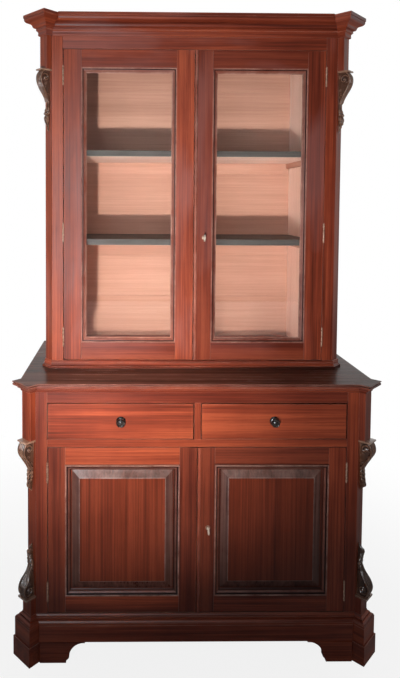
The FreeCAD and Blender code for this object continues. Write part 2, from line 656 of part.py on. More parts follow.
drawerX = ("muntinWidth / 2 + drawerGap", "lowerOpenX - drawerGap")
insideX = (f"{drawerX[0]} + drawerSideThickness", f"{drawerX[1]} - drawerSideThickness")
boxY = ("frontY + drawerFrontThickness", "backFaceY - drawerRearGap")
boxZ = ("drawerFloorZ + runGap", "topRailZ - drawerHeadroom")
bottomZ = (f"{boxZ[0]} + drawerBottomRise", f"{boxZ[0]} + drawerBottomRise + drawerBottomThickness")
knobX = "(muntinWidth / 2 + lowerOpenX) / 2"
knobZ = "drawerFloorZ + drawerOpening / 2"
drawerFront = cut("drawer_front",
                  board("drawer_front_board", drawerX, ("frontY", "frontY + drawerFrontThickness"),
                        ("drawerFloorZ + drawerGap", "topRailZ - drawerGap")),
                  rod("spigot_hole", "spigotRadius + spigotClearance", knobX,
                      ("frontY", "frontY + drawerFrontThickness - spigotRest"), knobZ))
drawerBox = [board("drawer_inner_side", (drawerX[0], insideX[0]), boxY, boxZ),
             board("drawer_outer_side", (insideX[1], drawerX[1]), boxY, boxZ),
             board("drawer_bottom", insideX, boxY, bottomZ),
             board("drawer_back", insideX, (f"{boxY[1]} - drawerSideThickness", boxY[1]),
                   (bottomZ[1], boxZ[1]))]
drawerKnob = knob("drawer_knob", knobX, "frontY", knobZ)
node("right_drawer_front", drawerFront)
node("left_drawer_front", mirror(drawerFront))
node("right_drawer_box", *drawerBox)
node("left_drawer_box", *[mirror(piece) for piece in drawerBox])
node("right_drawer_knob", drawerKnob)
node("left_drawer_knob", mirror(drawerKnob))


# Doors, with the glass or the panel held between a planted moulding and retaining strips
def doorMoulding(name, x, z, face, moulding, proud, seat, infill):
    # mitred round the opening; the section's height runs forward from the door's face
    corners = [(value(x[0]), value(z[0])), (value(x[0]), value(z[1])),
               (value(x[1]), value(z[1])), (value(x[1]), value(z[0]))]
    back = -value(seat)
    front = memberPoints(moulding, value(proud), -1)
    front += [(front[-1][0], back, 0), (0, back, 0)]
    strip = bar(-value("frameThickness"), back - value(infill), 0, value("retainerWidth"))
    thing = feature(name, mitredLengths(corners, front, True) + mitredLengths(corners, strip, True))
    turn(thing, (1, 0, 0), 90)
    return place(thing, "0", face, "0")


def raisedPanel(name, x, z, face):
    # a flat edge behind the moulding, and a field that rises from it over a wide bevel
    edge = f"-({face} + panelSeat)"
    foot = f"{total('panelMould', 'Out')} + panelMargin"
    body = prism(name, rectangle(x, z, "infillGap"), f"{edge} - panelEdgeThickness", edge, "XZ_Plane")
    loft = body.newObject("PartDesign::AdditiveLoft", name + "Field")
    loft.Profile = addSketch(body, name + "Foot", "XZ_Plane", edge, rectangle(x, z, f"({foot})"))
    loft.Sections = [addSketch(body, name + "Top", "XZ_Plane", f"{edge} + panelRise",
                               rectangle(x, z, f"({foot} + panelBevel)"))]
    loft.Ruled = True
    body.Tip = loft
    return body


def hinge(name, open_x, face, z):
    # the frame's leaf with two knuckles, the door's leaf with one between them, and the pin
    axis = (f"{open_x} - meetX", f"{face} - hingeStandOff")
    low, high = f"{z} - hingeHeight / 2", f"{z} + hingeHeight / 2"
    third = (f"{z} - hingeHeight / 6", f"{z} + hingeHeight / 6")
    plate = (face, f"{face} + leafDepth")
    neck = (axis[1], face)
    bore = rod(name + "_bore", "pinRadius + pinClearance", *axis, (low, high))
    frameX = (f"{open_x} - leafThickness", open_x)
    doorX = (f"{open_x} - doorGap", f"{open_x} - doorGap + leafThickness")
    ends = {"low": (low, f"{third[0]} - knuckleGap"), "high": (f"{third[1]} + knuckleGap", high)}
    frame = [board(name + "_frame_plate", frameX, plate, (low, high))]
    for end, reach in ends.items():
        frame.append(board(f"{name}_{end}_neck", frameX, neck, reach))
        frame.append(rod(f"{name}_{end}_knuckle", "knuckleRadius", *axis, reach))
    door = [board(name + "_door_plate", doorX, plate, (low, high)),
            board(name + "_door_neck", doorX, neck, third),
            rod(name + "_door_knuckle", "knuckleRadius", *axis, third)]
    pin = fuse(name + "_pin",
               rod(name + "_shaft", "pinRadius", *axis, (low, high)),
               rod(name + "_foot", "pinHeadRadius", *axis, (f"{low} - pinHeadHeight", low)),
               rod(name + "_head", "pinHeadRadius", *axis, (high, f"{high} + pinHeadHeight")))
    return (cut(name + "_frame_leaf", fuse(name + "_frame", *frame), bore),
            cut(name + "_door_leaf", fuse(name + "_door", *door), bore), pin)


def lock(name, face, z):
    # a case behind the door with a chamber for the key and a channel for the bolt, and a plate in front
    rear = f"{face} + frameThickness"
    middle = f"{face} + boltMiddle"
    boltZ = f"{z} + boltRise"
    room = "(boltThickness / 2 + boltClearance)"
    head = "(boltHeight / 2 + boltClearance)"
    caseZ = (f"{z} - chamberRadius - lockWall", f"{boltZ} + {head} + lockWall")
    case = cut(name + "_case",
               board(name + "_block", ("lockX", "keyInset + chamberRadius + lockWall"),
                     (rear, f"{rear} + lockDepth"), caseZ),
               rod(name + "_chamber", "chamberRadius", "keyInset", (rear, f"{rear} + chamberDepth"), z),
               board(name + "_channel", ("lockX", "keyInset + boltClearance"),
                     (f"{middle} - {room}", f"{middle} + {room}"), (f"{boltZ} - {head}", f"{boltZ} + {head}")))
    plateY = (f"{face} - escutcheonThickness", face)
    plate = cut(name + "_plate",
                rod(name + "_disc", "escutcheonRadius", "keyInset", plateY, z),
                rod(name + "_disc_hole", "keyholeRadius", "keyInset", plateY, z))
    bolt = board(name + "_bolt_bar", ("lockX", "keyInset"),
                 (f"{middle} - boltThickness / 2", f"{middle} + boltThickness / 2"),
                 (f"{boltZ} - boltHeight / 2", f"{boltZ} + boltHeight / 2"))
    return case, plate, bolt


def key(name, face, z):
    # a shank with a bit inside the lock, a collar and a round bow that stands upright
    rear = f"{face} + frameThickness"
    collarEnd = f"{face} - escutcheonThickness - keyCollarGap"
    ring = doc.addObject("Part::Torus", name + "_bow")
    turn(ring, (0, 1, 0), 90)
    place(ring, "keyInset", f"{face} - keyStem - keyBowRadius", z)
    bind(ring, {"Radius1": "keyBowRadius", "Radius2": "keyBowWire"})
    shankY = (f"{face} - keyStem", f"{rear} + keyReach")
    collarY = (f"{collarEnd} - keyCollarLength", collarEnd)
    bitY = (f"{rear} + bitRoom", f"{rear} + keyReach - bitRoom")
    return fuse(name, ring,
                rod(name + "_shank", "keyShankRadius", "keyInset", shankY, z),
                rod(name + "_collar", "keyCollarRadius", "keyInset", collarY, z),
                board(name + "_bit", ("keyInset - keyBitWidth / 2", "keyInset + keyBitWidth / 2"), bitY,
                      (z, f"{z} + chamberRadius - bitRoom")))


def leftDoorCatch(name, face, keyZ, doorZ):
    # a staple for the lock's bolt and a guided bolt that drops into the floor
    rear = f"{face} + frameThickness"
    boltZ = f"{keyZ} + boltRise"
    inside = f"{face} + boltMiddle + boltThickness / 2 + stapleRoom"
    stapleX = ("-meetX - stapleInset - stapleWidth", "-meetX - stapleInset")
    room = "(boltHeight / 2 + stapleRoom)"
    staple = cut(name + "_staple",
                 board(name + "_staple_block", stapleX, (rear, f"{inside} + stapleWall"),
                       (f"{boltZ} - {room} - stapleWall", f"{boltZ} + {room} + stapleWall")),
                 board(name + "_staple_way", stapleX, (rear, inside),
                       (f"{boltZ} - {room}", f"{boltZ} + {room}")))
    half = "(doorBoltSize / 2 + boltClearance)"
    middle = f"{face} + doorBoltMiddle"
    guideZ = (f"{doorZ} + doorBoltGuideRise", f"{doorZ} + doorBoltGuideRise + doorBoltGuide")
    wayX = (f"-doorBoltInset - {half}", f"-doorBoltInset + {half}")
    guide = cut(name + "_guide",
                board(name + "_guide_block", (f"{wayX[0]} - doorBoltWall", f"{wayX[1]} + doorBoltWall"),
                      (rear, f"{middle} + {half} + doorBoltWall"), guideZ),
                board(name + "_guide_way", wayX, (f"{middle} - {half}", f"{middle} + {half}"), guideZ))
    top = f"{doorZ} + doorBoltLift + doorBoltLength"
    backFace = f"{middle} + doorBoltSize / 2"
    barX = ("-doorBoltInset - doorBoltSize / 2", "-doorBoltInset + doorBoltSize / 2")
    bolt = fuse(name + "_bolt",
                board(name + "_bolt_bar", barX, (f"{middle} - doorBoltSize / 2", backFace),
                      (f"{doorZ} + doorBoltLift", top)),
                rod(name + "_bolt_knob", "doorBoltKnobRadius", "-doorBoltInset",
                    (backFace, f"{backFace} + doorBoltKnobLength"), f"{top} - doorBoltKnobRadius"))
    return staple, guide, bolt


def doorPair(row, face, openX, floor, top, member, keyRise, hinges, glazed):
    # both leaves of one row of doors: the right one carries the bead, the lock and the key
    x = ("meetX", f"{openX} - doorGap")
    z = (f"{floor} + doorGap", f"{top} - doorGap")
    y = (face, f"{face} + frameThickness")
    keyZ = f"{floor} + {keyRise}"
    holeX = (f"{x[0]} + {member}", f"{x[1]} - {member}")
    holeZ = (f"{z[0]} + {member}", f"{z[1]} - {member}")
    meetingStile = board(row + "_meeting_stile", (x[0], holeX[0]), y, z)
    plainBoards = [board(row + "_hinge_stile", (holeX[1], x[1]), y, z),
                   board(row + "_top_rail", holeX, y, (holeZ[1], z[1])),
                   board(row + "_bottom_rail", holeX, y, (z[0], holeZ[0]))]
    keyhole = rod(row + "_keyhole", "keyholeRadius", "keyInset", y, keyZ)
    boredStile = cut(row + "_bored_stile", meetingStile, keyhole)
    node(row + "_right_door_frame", boredStile, *plainBoards)
    node(row + "_left_door_frame", *[mirror(piece) for piece in [meetingStile] + plainBoards])

    if glazed:
        moulding = doorMoulding(row + "_moulding", holeX, holeZ, face, "glazingMould", "glazingProud",
                                "glazingSeat", "glassThickness")
        infill = board(row + "_glass", (f"{holeX[0]} + infillGap", f"{holeX[1]} - infillGap"),
                       (f"{face} + glazingSeat", f"{face} + glazingSeat + glassThickness"),
                       (f"{holeZ[0]} + infillGap", f"{holeZ[1]} - infillGap"))
    else:
        moulding = doorMoulding(row + "_moulding", holeX, holeZ, face, "panelMould", "panelProud", "panelSeat",
                                "panelEdgeThickness")
        infill = raisedPanel(row + "_panel", holeX, holeZ, face)
    kind = "glass" if glazed else "panel"
    for part, piece in (("moulding", moulding), (kind, infill)):
        node(f"{row}_right_door_{part}", piece)
        node(f"{row}_left_door_{part}", mirror(piece))

    sets = [hinge(f"{row}_hinge{number}", openX, face, height) for number, height in enumerate(hinges)]
    doorLeaves = [leaf for _, leaf, _ in sets]
    node(row + "_right_door_hinges", *doorLeaves)
    node(row + "_left_door_hinges", *[mirror(leaf) for leaf in doorLeaves])

    half = f"({face} - meetingBeadProud / 2)"
    edge = ("meetX", "meetX + meetingBeadWidth")
    node(row + "_meeting_bead",
         prism(row + "_bead",
               [(edge[0], face), (edge[0], half), (edge[1], half, BEAD_BULGE), (edge[1], face)], *z))
    case, plate, bolt = lock(row + "_lock", face, keyZ)
    node(row + "_lock", case, plate)
    node(row + "_lock_bolt", bolt)
    node(row + "_key", key(row + "_key", face, keyZ))
    staple, guide, leftBolt = leftDoorCatch(row + "_left", face, keyZ, z[0])
    node(row + "_left_door_catch", staple, guide)
    node(row + "_left_door_bolt", leftBolt)
    return sets


upperHinges = ("friezeZ - upperHingeDrop", "bookcaseFloorZ + upperHingeMiddle",
               "bookcaseFloorZ + upperHingeRise")
lowerHinges = ("drawerRailZ - lowerHingeDrop", "floorZ + lowerHingeRise")
hingeSets = doorPair("bookcase", "upperY", "upperOpenX", "bookcaseFloorZ", "friezeZ", "upperMember",
                     "upperKeyRise", upperHinges, True)
hingeSets += doorPair("cupboard", "frontY", "lowerOpenX", "floorZ", "drawerRailZ", "lowerMember",
                      "lowerKeyRise", lowerHinges, False)
fixedHinges = []
for frameLeaf, _, pin in hingeSets:
    fixedHinges += [*pair(frameLeaf), *pair(pin)]
node("frame_hinges", *fixedHinges)

# Build, check and write
doc.recompute()
faults = [thing.Name for thing in doc.Objects if {"Invalid", "Error"} & set(thing.State)]
faults += [label for label, thing in NODES.items() if thing.Shape.isNull() or not thing.Shape.isValid()]
if faults:
    raise RuntimeError("failed pieces: " + ", ".join(faults))
os.makedirs("parts", exist_ok=True)
for label, thing in NODES.items():
    thing.Shape.exportStep(f"parts/{label}.step")
print(len(NODES), "nodes,", sum(len(thing.Shape.Solids) for thing in NODES.values()), "solids")
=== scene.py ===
# A two-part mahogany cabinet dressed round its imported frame. Metres: X to the right, Y to the back, Z up.
import json
import math

import bmesh
import bpy
from mathutils import Matrix, Vector

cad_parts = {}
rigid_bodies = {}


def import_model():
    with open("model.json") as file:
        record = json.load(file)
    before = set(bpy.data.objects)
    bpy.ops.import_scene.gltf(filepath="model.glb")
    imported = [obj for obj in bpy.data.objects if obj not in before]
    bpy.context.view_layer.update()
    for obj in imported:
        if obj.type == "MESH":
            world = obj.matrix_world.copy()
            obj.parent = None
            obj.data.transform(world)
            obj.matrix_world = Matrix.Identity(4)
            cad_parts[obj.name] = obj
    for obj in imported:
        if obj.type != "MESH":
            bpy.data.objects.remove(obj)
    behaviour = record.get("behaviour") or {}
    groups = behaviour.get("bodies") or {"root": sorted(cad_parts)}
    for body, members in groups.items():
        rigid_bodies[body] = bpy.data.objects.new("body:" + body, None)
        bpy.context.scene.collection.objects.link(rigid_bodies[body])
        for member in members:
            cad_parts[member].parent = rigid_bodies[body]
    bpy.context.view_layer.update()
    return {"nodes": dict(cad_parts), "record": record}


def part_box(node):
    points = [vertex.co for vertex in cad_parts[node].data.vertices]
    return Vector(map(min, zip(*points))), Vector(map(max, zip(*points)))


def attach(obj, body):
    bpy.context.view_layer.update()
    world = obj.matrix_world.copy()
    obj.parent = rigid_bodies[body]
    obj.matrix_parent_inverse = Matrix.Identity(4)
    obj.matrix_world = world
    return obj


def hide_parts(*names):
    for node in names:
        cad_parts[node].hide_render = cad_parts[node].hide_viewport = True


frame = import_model()
cadNodes = frame["nodes"]
bodyOf = {node: body for body, group in frame["record"]["behaviour"]["bodies"].items() for node in group}
slotOf = {row["node"]: row["material_slot"] for row in frame["record"]["subparts"]}
print("frame loaded with", len(cadNodes), "nodes")

# plans of the two cases, and levels taken from the frame
lowerCase = {"half": 0.540, "cant": 0.046, "step": 0.022, "front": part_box("left_drawer_front")[0].y,
             "open": 0.502}
upperCase = {"half": 0.507, "cant": 0.038, "step": 0.023, "front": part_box("bookcase_left_door_frame")[0].y,
             "open": 0.468}
levels = {
    "footTop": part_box("bracket_feet")[1].z, "plinthTop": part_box("plinth_boards")[1].z,
    "floor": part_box("cupboard_floor")[1].z, "counter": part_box("counter_top")[0].z,
    "counterTop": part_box("counter_top")[1].z, "bookcaseFloor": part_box("bookcase_floor")[1].z,
    "cornice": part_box("cornice_moulding")[0].z, "lid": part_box("bookcase_top")[0].z,
    "top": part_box("bookcase_top")[1].z}
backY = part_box("cupboard_sides")[1].y
boardThick = {"frame": 0.024, "post": 0.060, "side": 0.020}
diagonal = math.sqrt(0.5)
upward = Vector((0, 0, 1))
mm = 0.001


# materials
def addNode(tree, kind, **settings):
    node = tree.nodes.new("ShaderNode" + kind)
    for name, value in settings.items():
        setattr(node, name, value)
    return node


def fillSocket(tree, socket, value):
    # a link from another node, or a fixed value
    if isinstance(value, bpy.types.NodeSocket):
        tree.links.new(value, socket)
    else:
        socket.default_value = (*value, 1) if socket.type == "RGBA" else value


def feed(tree, node, **sockets):
    for name, value in sockets.items():
        fillSocket(tree, node.inputs[name.replace("_", " ")], value)
    return node


def newMaterial(name, **sockets):
    material = bpy.data.materials.new(name)
    material.use_nodes = True
    tree = material.node_tree
    shader = feed(tree, tree.nodes["Principled BSDF"], **sockets)
    return material, tree, shader, addNode(tree, "TexCoord").outputs["Object"]


def blendShaders(tree, factor, first, second, end="Material Output"):
    node = addNode(tree, "MixShader")
    for socket, source in zip(node.inputs, (factor, first, second)):
        tree.links.new(source, socket)
    tree.links.new(node.outputs["Shader"], tree.nodes[end].inputs["Surface"])


def grey(value):
    return (value, value, value)


def ramp(tree, source, *stops):
    # the first two stops are the ends
    node = feed(tree, addNode(tree, "ValToRGB"), Fac=source)
    for number, (place, colour) in enumerate(stops):
        stop = node.color_ramp.elements[number] if number < 2 else node.color_ramp.elements.new(place)
        stop.position = place
        stop.color = (*colour, 1)
    return node.outputs["Color"]


def greys(tree, source, *stops):
    return ramp(tree, source, *((place, grey(value)) for place, value in stops))


def mixColour(tree, factor, first, second):
    node = addNode(tree, "Mix", data_type="RGBA")
    return feed(tree, node, Factor=factor, A=first, B=second).outputs["Result"]


def calculate(tree, operation, first, second):
    node = addNode(tree, "Math", operation=operation, use_clamp=operation == "MULTIPLY")
    for socket, value in zip(node.inputs, (first, second)):
        fillSocket(tree, socket, value)
    return node.outputs["Value"]


def weighed(tree, *rows):
    # the sum of values, each times its share
    total = calculate(tree, "MULTIPLY", *rows[0])
    for row in rows[1:]:
        total = calculate(tree, "ADD", total, calculate(tree, "MULTIPLY", *row))
    return total


def stretched(tree, source, scale, detail, rough=0.55, warp=0.0):
    place = feed(tree, addNode(tree, "Mapping"), Vector=source, Scale=scale).outputs["Vector"]
    noise = feed(tree, addNode(tree, "TexNoise"), Vector=place, Scale=1.0, Detail=detail, Roughness=rough,
                 Distortion=warp)
    return noise.outputs["Fac"]


def bumped(tree, height, strength, distance):
    node = feed(tree, addNode(tree, "Bump"), Height=height, Strength=strength, Distance=distance)
    return node.outputs["Normal"]


# grain runs along X once the coordinates are turned
grainTurns = {"X": (0, 0, 0), "Y": (0, 0, -math.pi / 2), "Z": (0, math.pi / 2, 0),
              "rising": (0, 0, -math.pi / 4), "falling": (0, 0, math.pi / 4)}
# scale along and across the grain, detail, roughness and warp
grainLayers = {"figure": ((0.9, 11, 11), 4, 0.5, 0.5), "streak": ((2.6, 170, 170), 3, 0.6),
               "pores": ((22, 1300, 1300), 1), "cloud": ((2.6, 7, 7), 3, 0.45, 0.3),
               "blotch": ((4.5, 4.5, 4.5), 3), "chips": ((15, 15, 15), 7, 0.68)}
boardShift = (3.1, 5.3, 7.7)  # every board shows another stretch of grain
recessShadeShares = {"wear": -0.85, "tint": 0.25}  # painted shade darkens the quirks and grooves where wear is below 0
grainShares = {"figure": 0.26, "ribbon": 0.32, "streak": 0.34, "blotch": 0.12, "tone": 0.09, "pores": 0.45}
lookColumns = ("dark", "middle", "light", "worn", "wear", "rough", "coat", "ribbon", "bloomAndSheen", "shine")
woodLooks = {
    "mahogany": ((0.074, 0.011, 0.005), (0.200, 0.034, 0.014), (0.345, 0.070, 0.028), (0.58, 0.36, 0.30),
                 0.8, (0.34, 0.48), 0.06, 36, 0.28, 0.24),
    # a darker copy of mahogany: painted shade on lower door members
    "aged": ((0.036, 0.006, 0.004), (0.104, 0.018, 0.009), (0.190, 0.038, 0.017), (0.56, 0.34, 0.28),
             0.8, (0.32, 0.46), 0.08, 40, 0.10, 0.24),
    "panel": ((0.076, 0.013, 0.006), (0.142, 0.025, 0.010), (0.205, 0.040, 0.017), (0.56, 0.36, 0.30),
              0.7, (0.28, 0.40), 0.10, 130, 0, 0.24),
    # a greyed copy for the panel bevels: a painted sheen
    "bevel": ((0.034, 0.010, 0.007), (0.082, 0.028, 0.020), (0.140, 0.058, 0.044), (0.60, 0.47, 0.43),
              0.9, (0.24, 0.36), 0.20, 60, 0, 0.24),
    # a darker copy of mahogany: painted shade on the members that take it
    "edge": ((0.058, 0.009, 0.005), (0.136, 0.023, 0.011), (0.215, 0.044, 0.020), (0.55, 0.33, 0.27),
             0.8, (0.30, 0.42), 0.08, 30, 0.22, 0.24),
    # the counter look's greyish tint is partly a painted sheen on the top
    "counter": ((0.052, 0.021, 0.014), (0.128, 0.053, 0.036), (0.215, 0.095, 0.066), (0.55, 0.29, 0.22),
                0.8, (0.20, 0.30), 0, 20, 0, 0.05),
    "lining": ((0.405, 0.205, 0.146), (0.490, 0.258, 0.187), (0.560, 0.312, 0.231), (0.70, 0.45, 0.34),
               0.3, (0.62, 0.80), 0, 12, 0, 0.24),
    # a paler copy of the lining: painted light on the side linings and the shelf undersides
    "litLining": ((0.76, 0.50, 0.39), (0.88, 0.61, 0.50), (0.92, 0.69, 0.59), (0.70, 0.45, 0.34),
                   0.3, (0.62, 0.80), 0, 12, 0, 0.24),
    "shelf": ((0.030, 0.025, 0.022), (0.054, 0.046, 0.041), (0.084, 0.075, 0.070), (0.18, 0.15, 0.13),
              0.4, (0.45, 0.62), 0, 16, 0, 0.24),
    "drawerWood": ((0.26, 0.15, 0.08), (0.42, 0.27, 0.15), (0.54, 0.37, 0.22), (0.58, 0.44, 0.30),
                   0.3, (0.60, 0.78), 0, 22, 0, 0.24),
    "rough": ((0.060, 0.024, 0.014), (0.130, 0.054, 0.032), (0.210, 0.098, 0.060), (0.30, 0.18, 0.12),
              0.4, (0.66, 0.84), 0, 14, 0, 0.24),
}
# the clouded polish and its painted purple sheen set in between these heights
bloomAndSheen = {"tint": (0.31, 0.150, 0.145), "from": 0.95, "to": 1.10}
woods = {}


def wood(look, grain):
    if (look, grain) in woods:
        return woods[look, grain]
    tints = dict(zip(lookColumns, woodLooks[look]))
    material, tree, shader, place = newMaterial(
        f"{look}Grain{grain.capitalize()}", Coat_Weight=tints["coat"], Coat_Roughness=0.3,
        Specular_IOR_Level=tints["shine"])
    tone, wear = (addNode(tree, "Attribute", attribute_name=name).outputs["Fac"] for name in ("tone", "wear"))
    shift = addNode(tree, "VectorMath", operation="MULTIPLY_ADD")
    for socket, value in zip(shift.inputs, (tone, boardShift, place)):
        fillSocket(tree, socket, value)
    turn = feed(tree, addNode(tree, "Mapping"), Vector=shift.outputs["Vector"], Rotation=grainTurns[grain])
    along = turn.outputs["Vector"]
    figure, streak, pores = (stretched(tree, along, *grainLayers[name])
                             for name in ("figure", "streak", "pores"))
    ribbon = stretched(tree, along, (0.5, tints["ribbon"], tints["ribbon"]), 3, 0.5, 0.15)
    blotch, flakes = (stretched(tree, place, *grainLayers[name]) for name in ("blotch", "chips"))
    shade = weighed(tree, (figure, grainShares["figure"]), (ribbon, grainShares["ribbon"]),
                    (streak, grainShares["streak"]), (blotch, grainShares["blotch"]),
                    (calculate(tree, "SUBTRACT", tone, 0.5), grainShares["tone"]))
    colour = ramp(tree, shade, (0.40, tints["dark"]), (0.62, tints["light"]), (0.515, tints["middle"]))
    pits = greys(tree, pores, (0.30, 1), (0.40, 0))
    colour = mixColour(tree, calculate(tree, "MULTIPLY", pits, grainShares["pores"]), colour, tints["dark"])
    if tints["bloomAndSheen"]:  # the old polish of the upper case has clouded in patches, mixed with a painted purple sheen
        cloud = greys(tree, stretched(tree, along, *grainLayers["cloud"]), (0.50, 0), (0.68, 1))
        height = feed(tree, addNode(tree, "SeparateXYZ"), Vector=place).outputs["Z"]
        upper = feed(tree, addNode(tree, "MapRange"), Value=height, From_Min=bloomAndSheen["from"],
                     From_Max=bloomAndSheen["to"])
        cloud = calculate(tree, "MULTIPLY", cloud, upper.outputs["Result"])
        colour = mixColour(tree, calculate(tree, "MULTIPLY", cloud, tints["bloomAndSheen"]), colour, bloomAndSheen["tint"])
    chips = greys(tree, flakes, (0.34, 0.12), (0.70, 1))
    bare = calculate(tree, "MULTIPLY", calculate(tree, "MULTIPLY", wear, chips), tints["wear"])
    colour = mixColour(tree, bare, colour, tints["worn"])
    # painted shade in the marked quirks and grooves
    recessShade = calculate(tree, "MULTIPLY", wear, recessShadeShares["wear"])
    colour = mixColour(tree, recessShade, colour, [tint * recessShadeShares["tint"] for tint in tints["dark"]])
    smooth, dull = tints["rough"]
    gloss = greys(tree, weighed(tree, (streak, 0.5), (blotch, 0.5)), (0.35, smooth), (0.65, dull))
    relief = calculate(tree, "SUBTRACT", streak, calculate(tree, "MULTIPLY", pits, 0.5))
    feed(tree, shader, Base_Color=colour, Roughness=mixColour(tree, bare, gloss, grey(0.6)),
         Normal=bumped(tree, relief, 0.12, 0.0006))
    woods[look, grain] = material
    return material


def carvedWood():
    # by pointiness: dark in the hollows as painted shade, pale on the ridges as rubbing and painted highlight
    tints = {"hollow": (0.010, 0.006, 0.004), "ground": (0.085, 0.037, 0.022), "ridge": (0.32, 0.165, 0.105),
             "rubbedHighlight": (0.76, 0.54, 0.41)}
    material, tree, shader, place = newMaterial("carvedMahogany", Coat_Weight=0.45, Coat_Roughness=0.26,
                                                Specular_IOR_Level=0.5)
    point = addNode(tree, "NewGeometry").outputs["Pointiness"]
    cloud, fine = stretched(tree, place, (45, 45, 45), 4), stretched(tree, place, (260, 260, 60), 3)
    stray = calculate(tree, "MULTIPLY", calculate(tree, "SUBTRACT", cloud, 0.5), 0.10)
    colour = ramp(tree, calculate(tree, "ADD", point, stray), (0.455, tints["hollow"]),
                  (0.60, tints["rubbedHighlight"]), (0.495, tints["ground"]), (0.545, tints["ridge"]))
    colour = mixColour(tree, calculate(tree, "MULTIPLY", fine, 0.35), colour, tints["hollow"])
    feed(tree, shader, Base_Color=colour, Roughness=greys(tree, cloud, (0.35, 0.16), (0.70, 0.32)))
    return material


def mottled(name, noise, tints, gloss, **sockets):
    # colour and roughness vary together
    material, tree, shader, place = newMaterial(name, **sockets)
    cloud = stretched(tree, place, *noise)
    feed(tree, shader, Base_Color=ramp(tree, cloud, *tints), Roughness=greys(tree, cloud, *gloss))
    return material


def oldGlass():
    # a thin pane: lamps pass through it, and the eye sees a faint gloss with a slow wave
    material, tree, shader, place = newMaterial("oldGlass", Transmission_Weight=1.0, IOR=1.45, Roughness=0.0)
    film, wave = stretched(tree, place, (9, 9, 9), 4), stretched(tree, place, (7, 7, 3), 2)
    tint = ramp(tree, film, (0.35, (0.955, 0.980, 0.968)), (0.70, (0.985, 0.992, 0.988)))
    feed(tree, shader, Base_Color=tint, Normal=bumped(tree, wave, 0.05, 0.001))
    blendShaders(tree, addNode(tree, "LightPath").outputs["Is Shadow Ray"], shader.outputs["BSDF"],
                 addNode(tree, "BsdfTransparent").outputs["BSDF"])
    return material


carving = carvedWood()
ebony = mottled("blackPolish", ((120, 120, 120), 4),
                ((0.40, (0.006, 0.005, 0.005)), (0.75, (0.050, 0.036, 0.030))),
                ((0.35, 0.16), (0.70, 0.34)), Coat_Weight=0.6, Coat_Roughness=0.08, Specular_IOR_Level=0.5)
tarnish = ((140, 140, 140), 5, 0.65)
brass = mottled("agedBrass", tarnish, ((0.36, (0.27, 0.15, 0.10)), (0.64, (0.66, 0.45, 0.34))),
                ((0.35, 0.52), (0.65, 0.32)), Metallic=0.6)
keyMetal = mottled("wornKeyMetal", tarnish, ((0.36, (0.66, 0.52, 0.40)), (0.64, (0.93, 0.84, 0.74))),
                   ((0.35, 0.54), (0.65, 0.34)), Metallic=0.5)
glass = oldGlass()
print("materials ready")


# modelling helpers
def deselectAll():
    bpy.ops.object.select_all(action="DESELECT")


def selectOnly(*pieces):
    deselectAll()
    for piece in pieces:
        piece.select_set(True)
    bpy.context.view_layer.objects.active = pieces[0]


def startEdit(piece, kind="VERT"):
    selectOnly(piece)
    bpy.ops.object.mode_set(mode="EDIT")
    bpy.ops.mesh.select_mode(type=kind)
    bpy.ops.mesh.select_all(action="SELECT")


def endEdit():
    bpy.ops.object.mode_set(mode="OBJECT")


def outwardNormals(piece):
    startEdit(piece)
    bpy.ops.mesh.remove_doubles(threshold=0.000005)
    bpy.ops.mesh.normals_make_consistent(inside=False)
    endEdit()


def prism(outline, sweep):
    # an outline of any corners, extruded
    deselectAll()
    bpy.ops.mesh.primitive_circle_add(vertices=len(outline), fill_type="NGON")
    piece = bpy.context.object
    for vertex, spot in zip(piece.data.vertices, outline):
        vertex.co = spot
    startEdit(piece)
    bpy.ops.mesh.extrude_region_move(TRANSFORM_OT_translate={"value": sweep})
    bpy.ops.mesh.select_all(action="SELECT")
    bpy.ops.mesh.normals_make_consistent(inside=False)
    endEdit()
    return piece


def block(low, high):
    size = Vector(high) - Vector(low)
    deselectAll()
    bpy.ops.mesh.primitive_cube_add(size=1, location=(Vector(low) + Vector(high)) / 2, scale=size)
    bpy.ops.object.transform_apply(location=True, rotation=True, scale=True)
    return bpy.context.object


def trim(piece, spot, normal, front):
    startEdit(piece)
    bpy.ops.mesh.bisect(plane_co=spot, plane_no=normal, use_fill=True, clear_outer=front,
                        clear_inner=not front)
    endEdit()


def easeEdges(piece, width, along=None, steps=2, worn=0.3):
    # rounds the sharp outer edges and notes the rounding as wear
    piece.data.materials.append(None)
    piece.data.materials.append(None)
    startEdit(piece, "EDGE")
    bpy.ops.mesh.select_all(action="DESELECT")
    mesh = bmesh.from_edit_mesh(piece.data)
    for edge in mesh.edges:
        if len(edge.link_faces) != 2 or not edge.is_convex or edge.calc_face_angle() < 0.5:
            continue
        run = (edge.verts[1].co - edge.verts[0].co).normalized()
        edge.select = along is None or abs(run.dot(along)) > 0.99
    bmesh.update_edit_mesh(piece.data)
    bpy.ops.mesh.bevel(offset=width, segments=steps, affect="EDGES", clamp_overlap=True, material=1)
    endEdit()
    wear = piece.data.attributes.new("wear", "FLOAT", "FACE")
    for face, mark in zip(piece.data.polygons, wear.data):
        mark.value = face.material_index * worn
    piece.data.materials.clear()


boardCount = 0


def giveWood(piece, look, grain):
    # each board has its own tone
    global boardCount
    boardCount += 1
    tone = piece.data.attributes.new("tone", "FLOAT", "FACE")
    tone.data.foreach_set("value", [boardCount * 0.618 % 1] * len(piece.data.polygons))
    piece.data.materials.append(wood(look, grain))
    return piece


def plank(low, high, look="mahogany", grain=None, ease=0.8 * mm):
    piece = block(low, high)
    size = piece.dimensions
    if grain is None:
        grain = "XYZ"[list(size).index(max(size))]
    easeEdges(piece, ease)
    return giveWood(piece, look, grain)


def bothSides(low, high, **settings):
    mirrored = (-high[0], low[1], low[2]), (-low[0], high[1], high[2])
    return [plank(low, high, **settings), plank(*mirrored, **settings)]


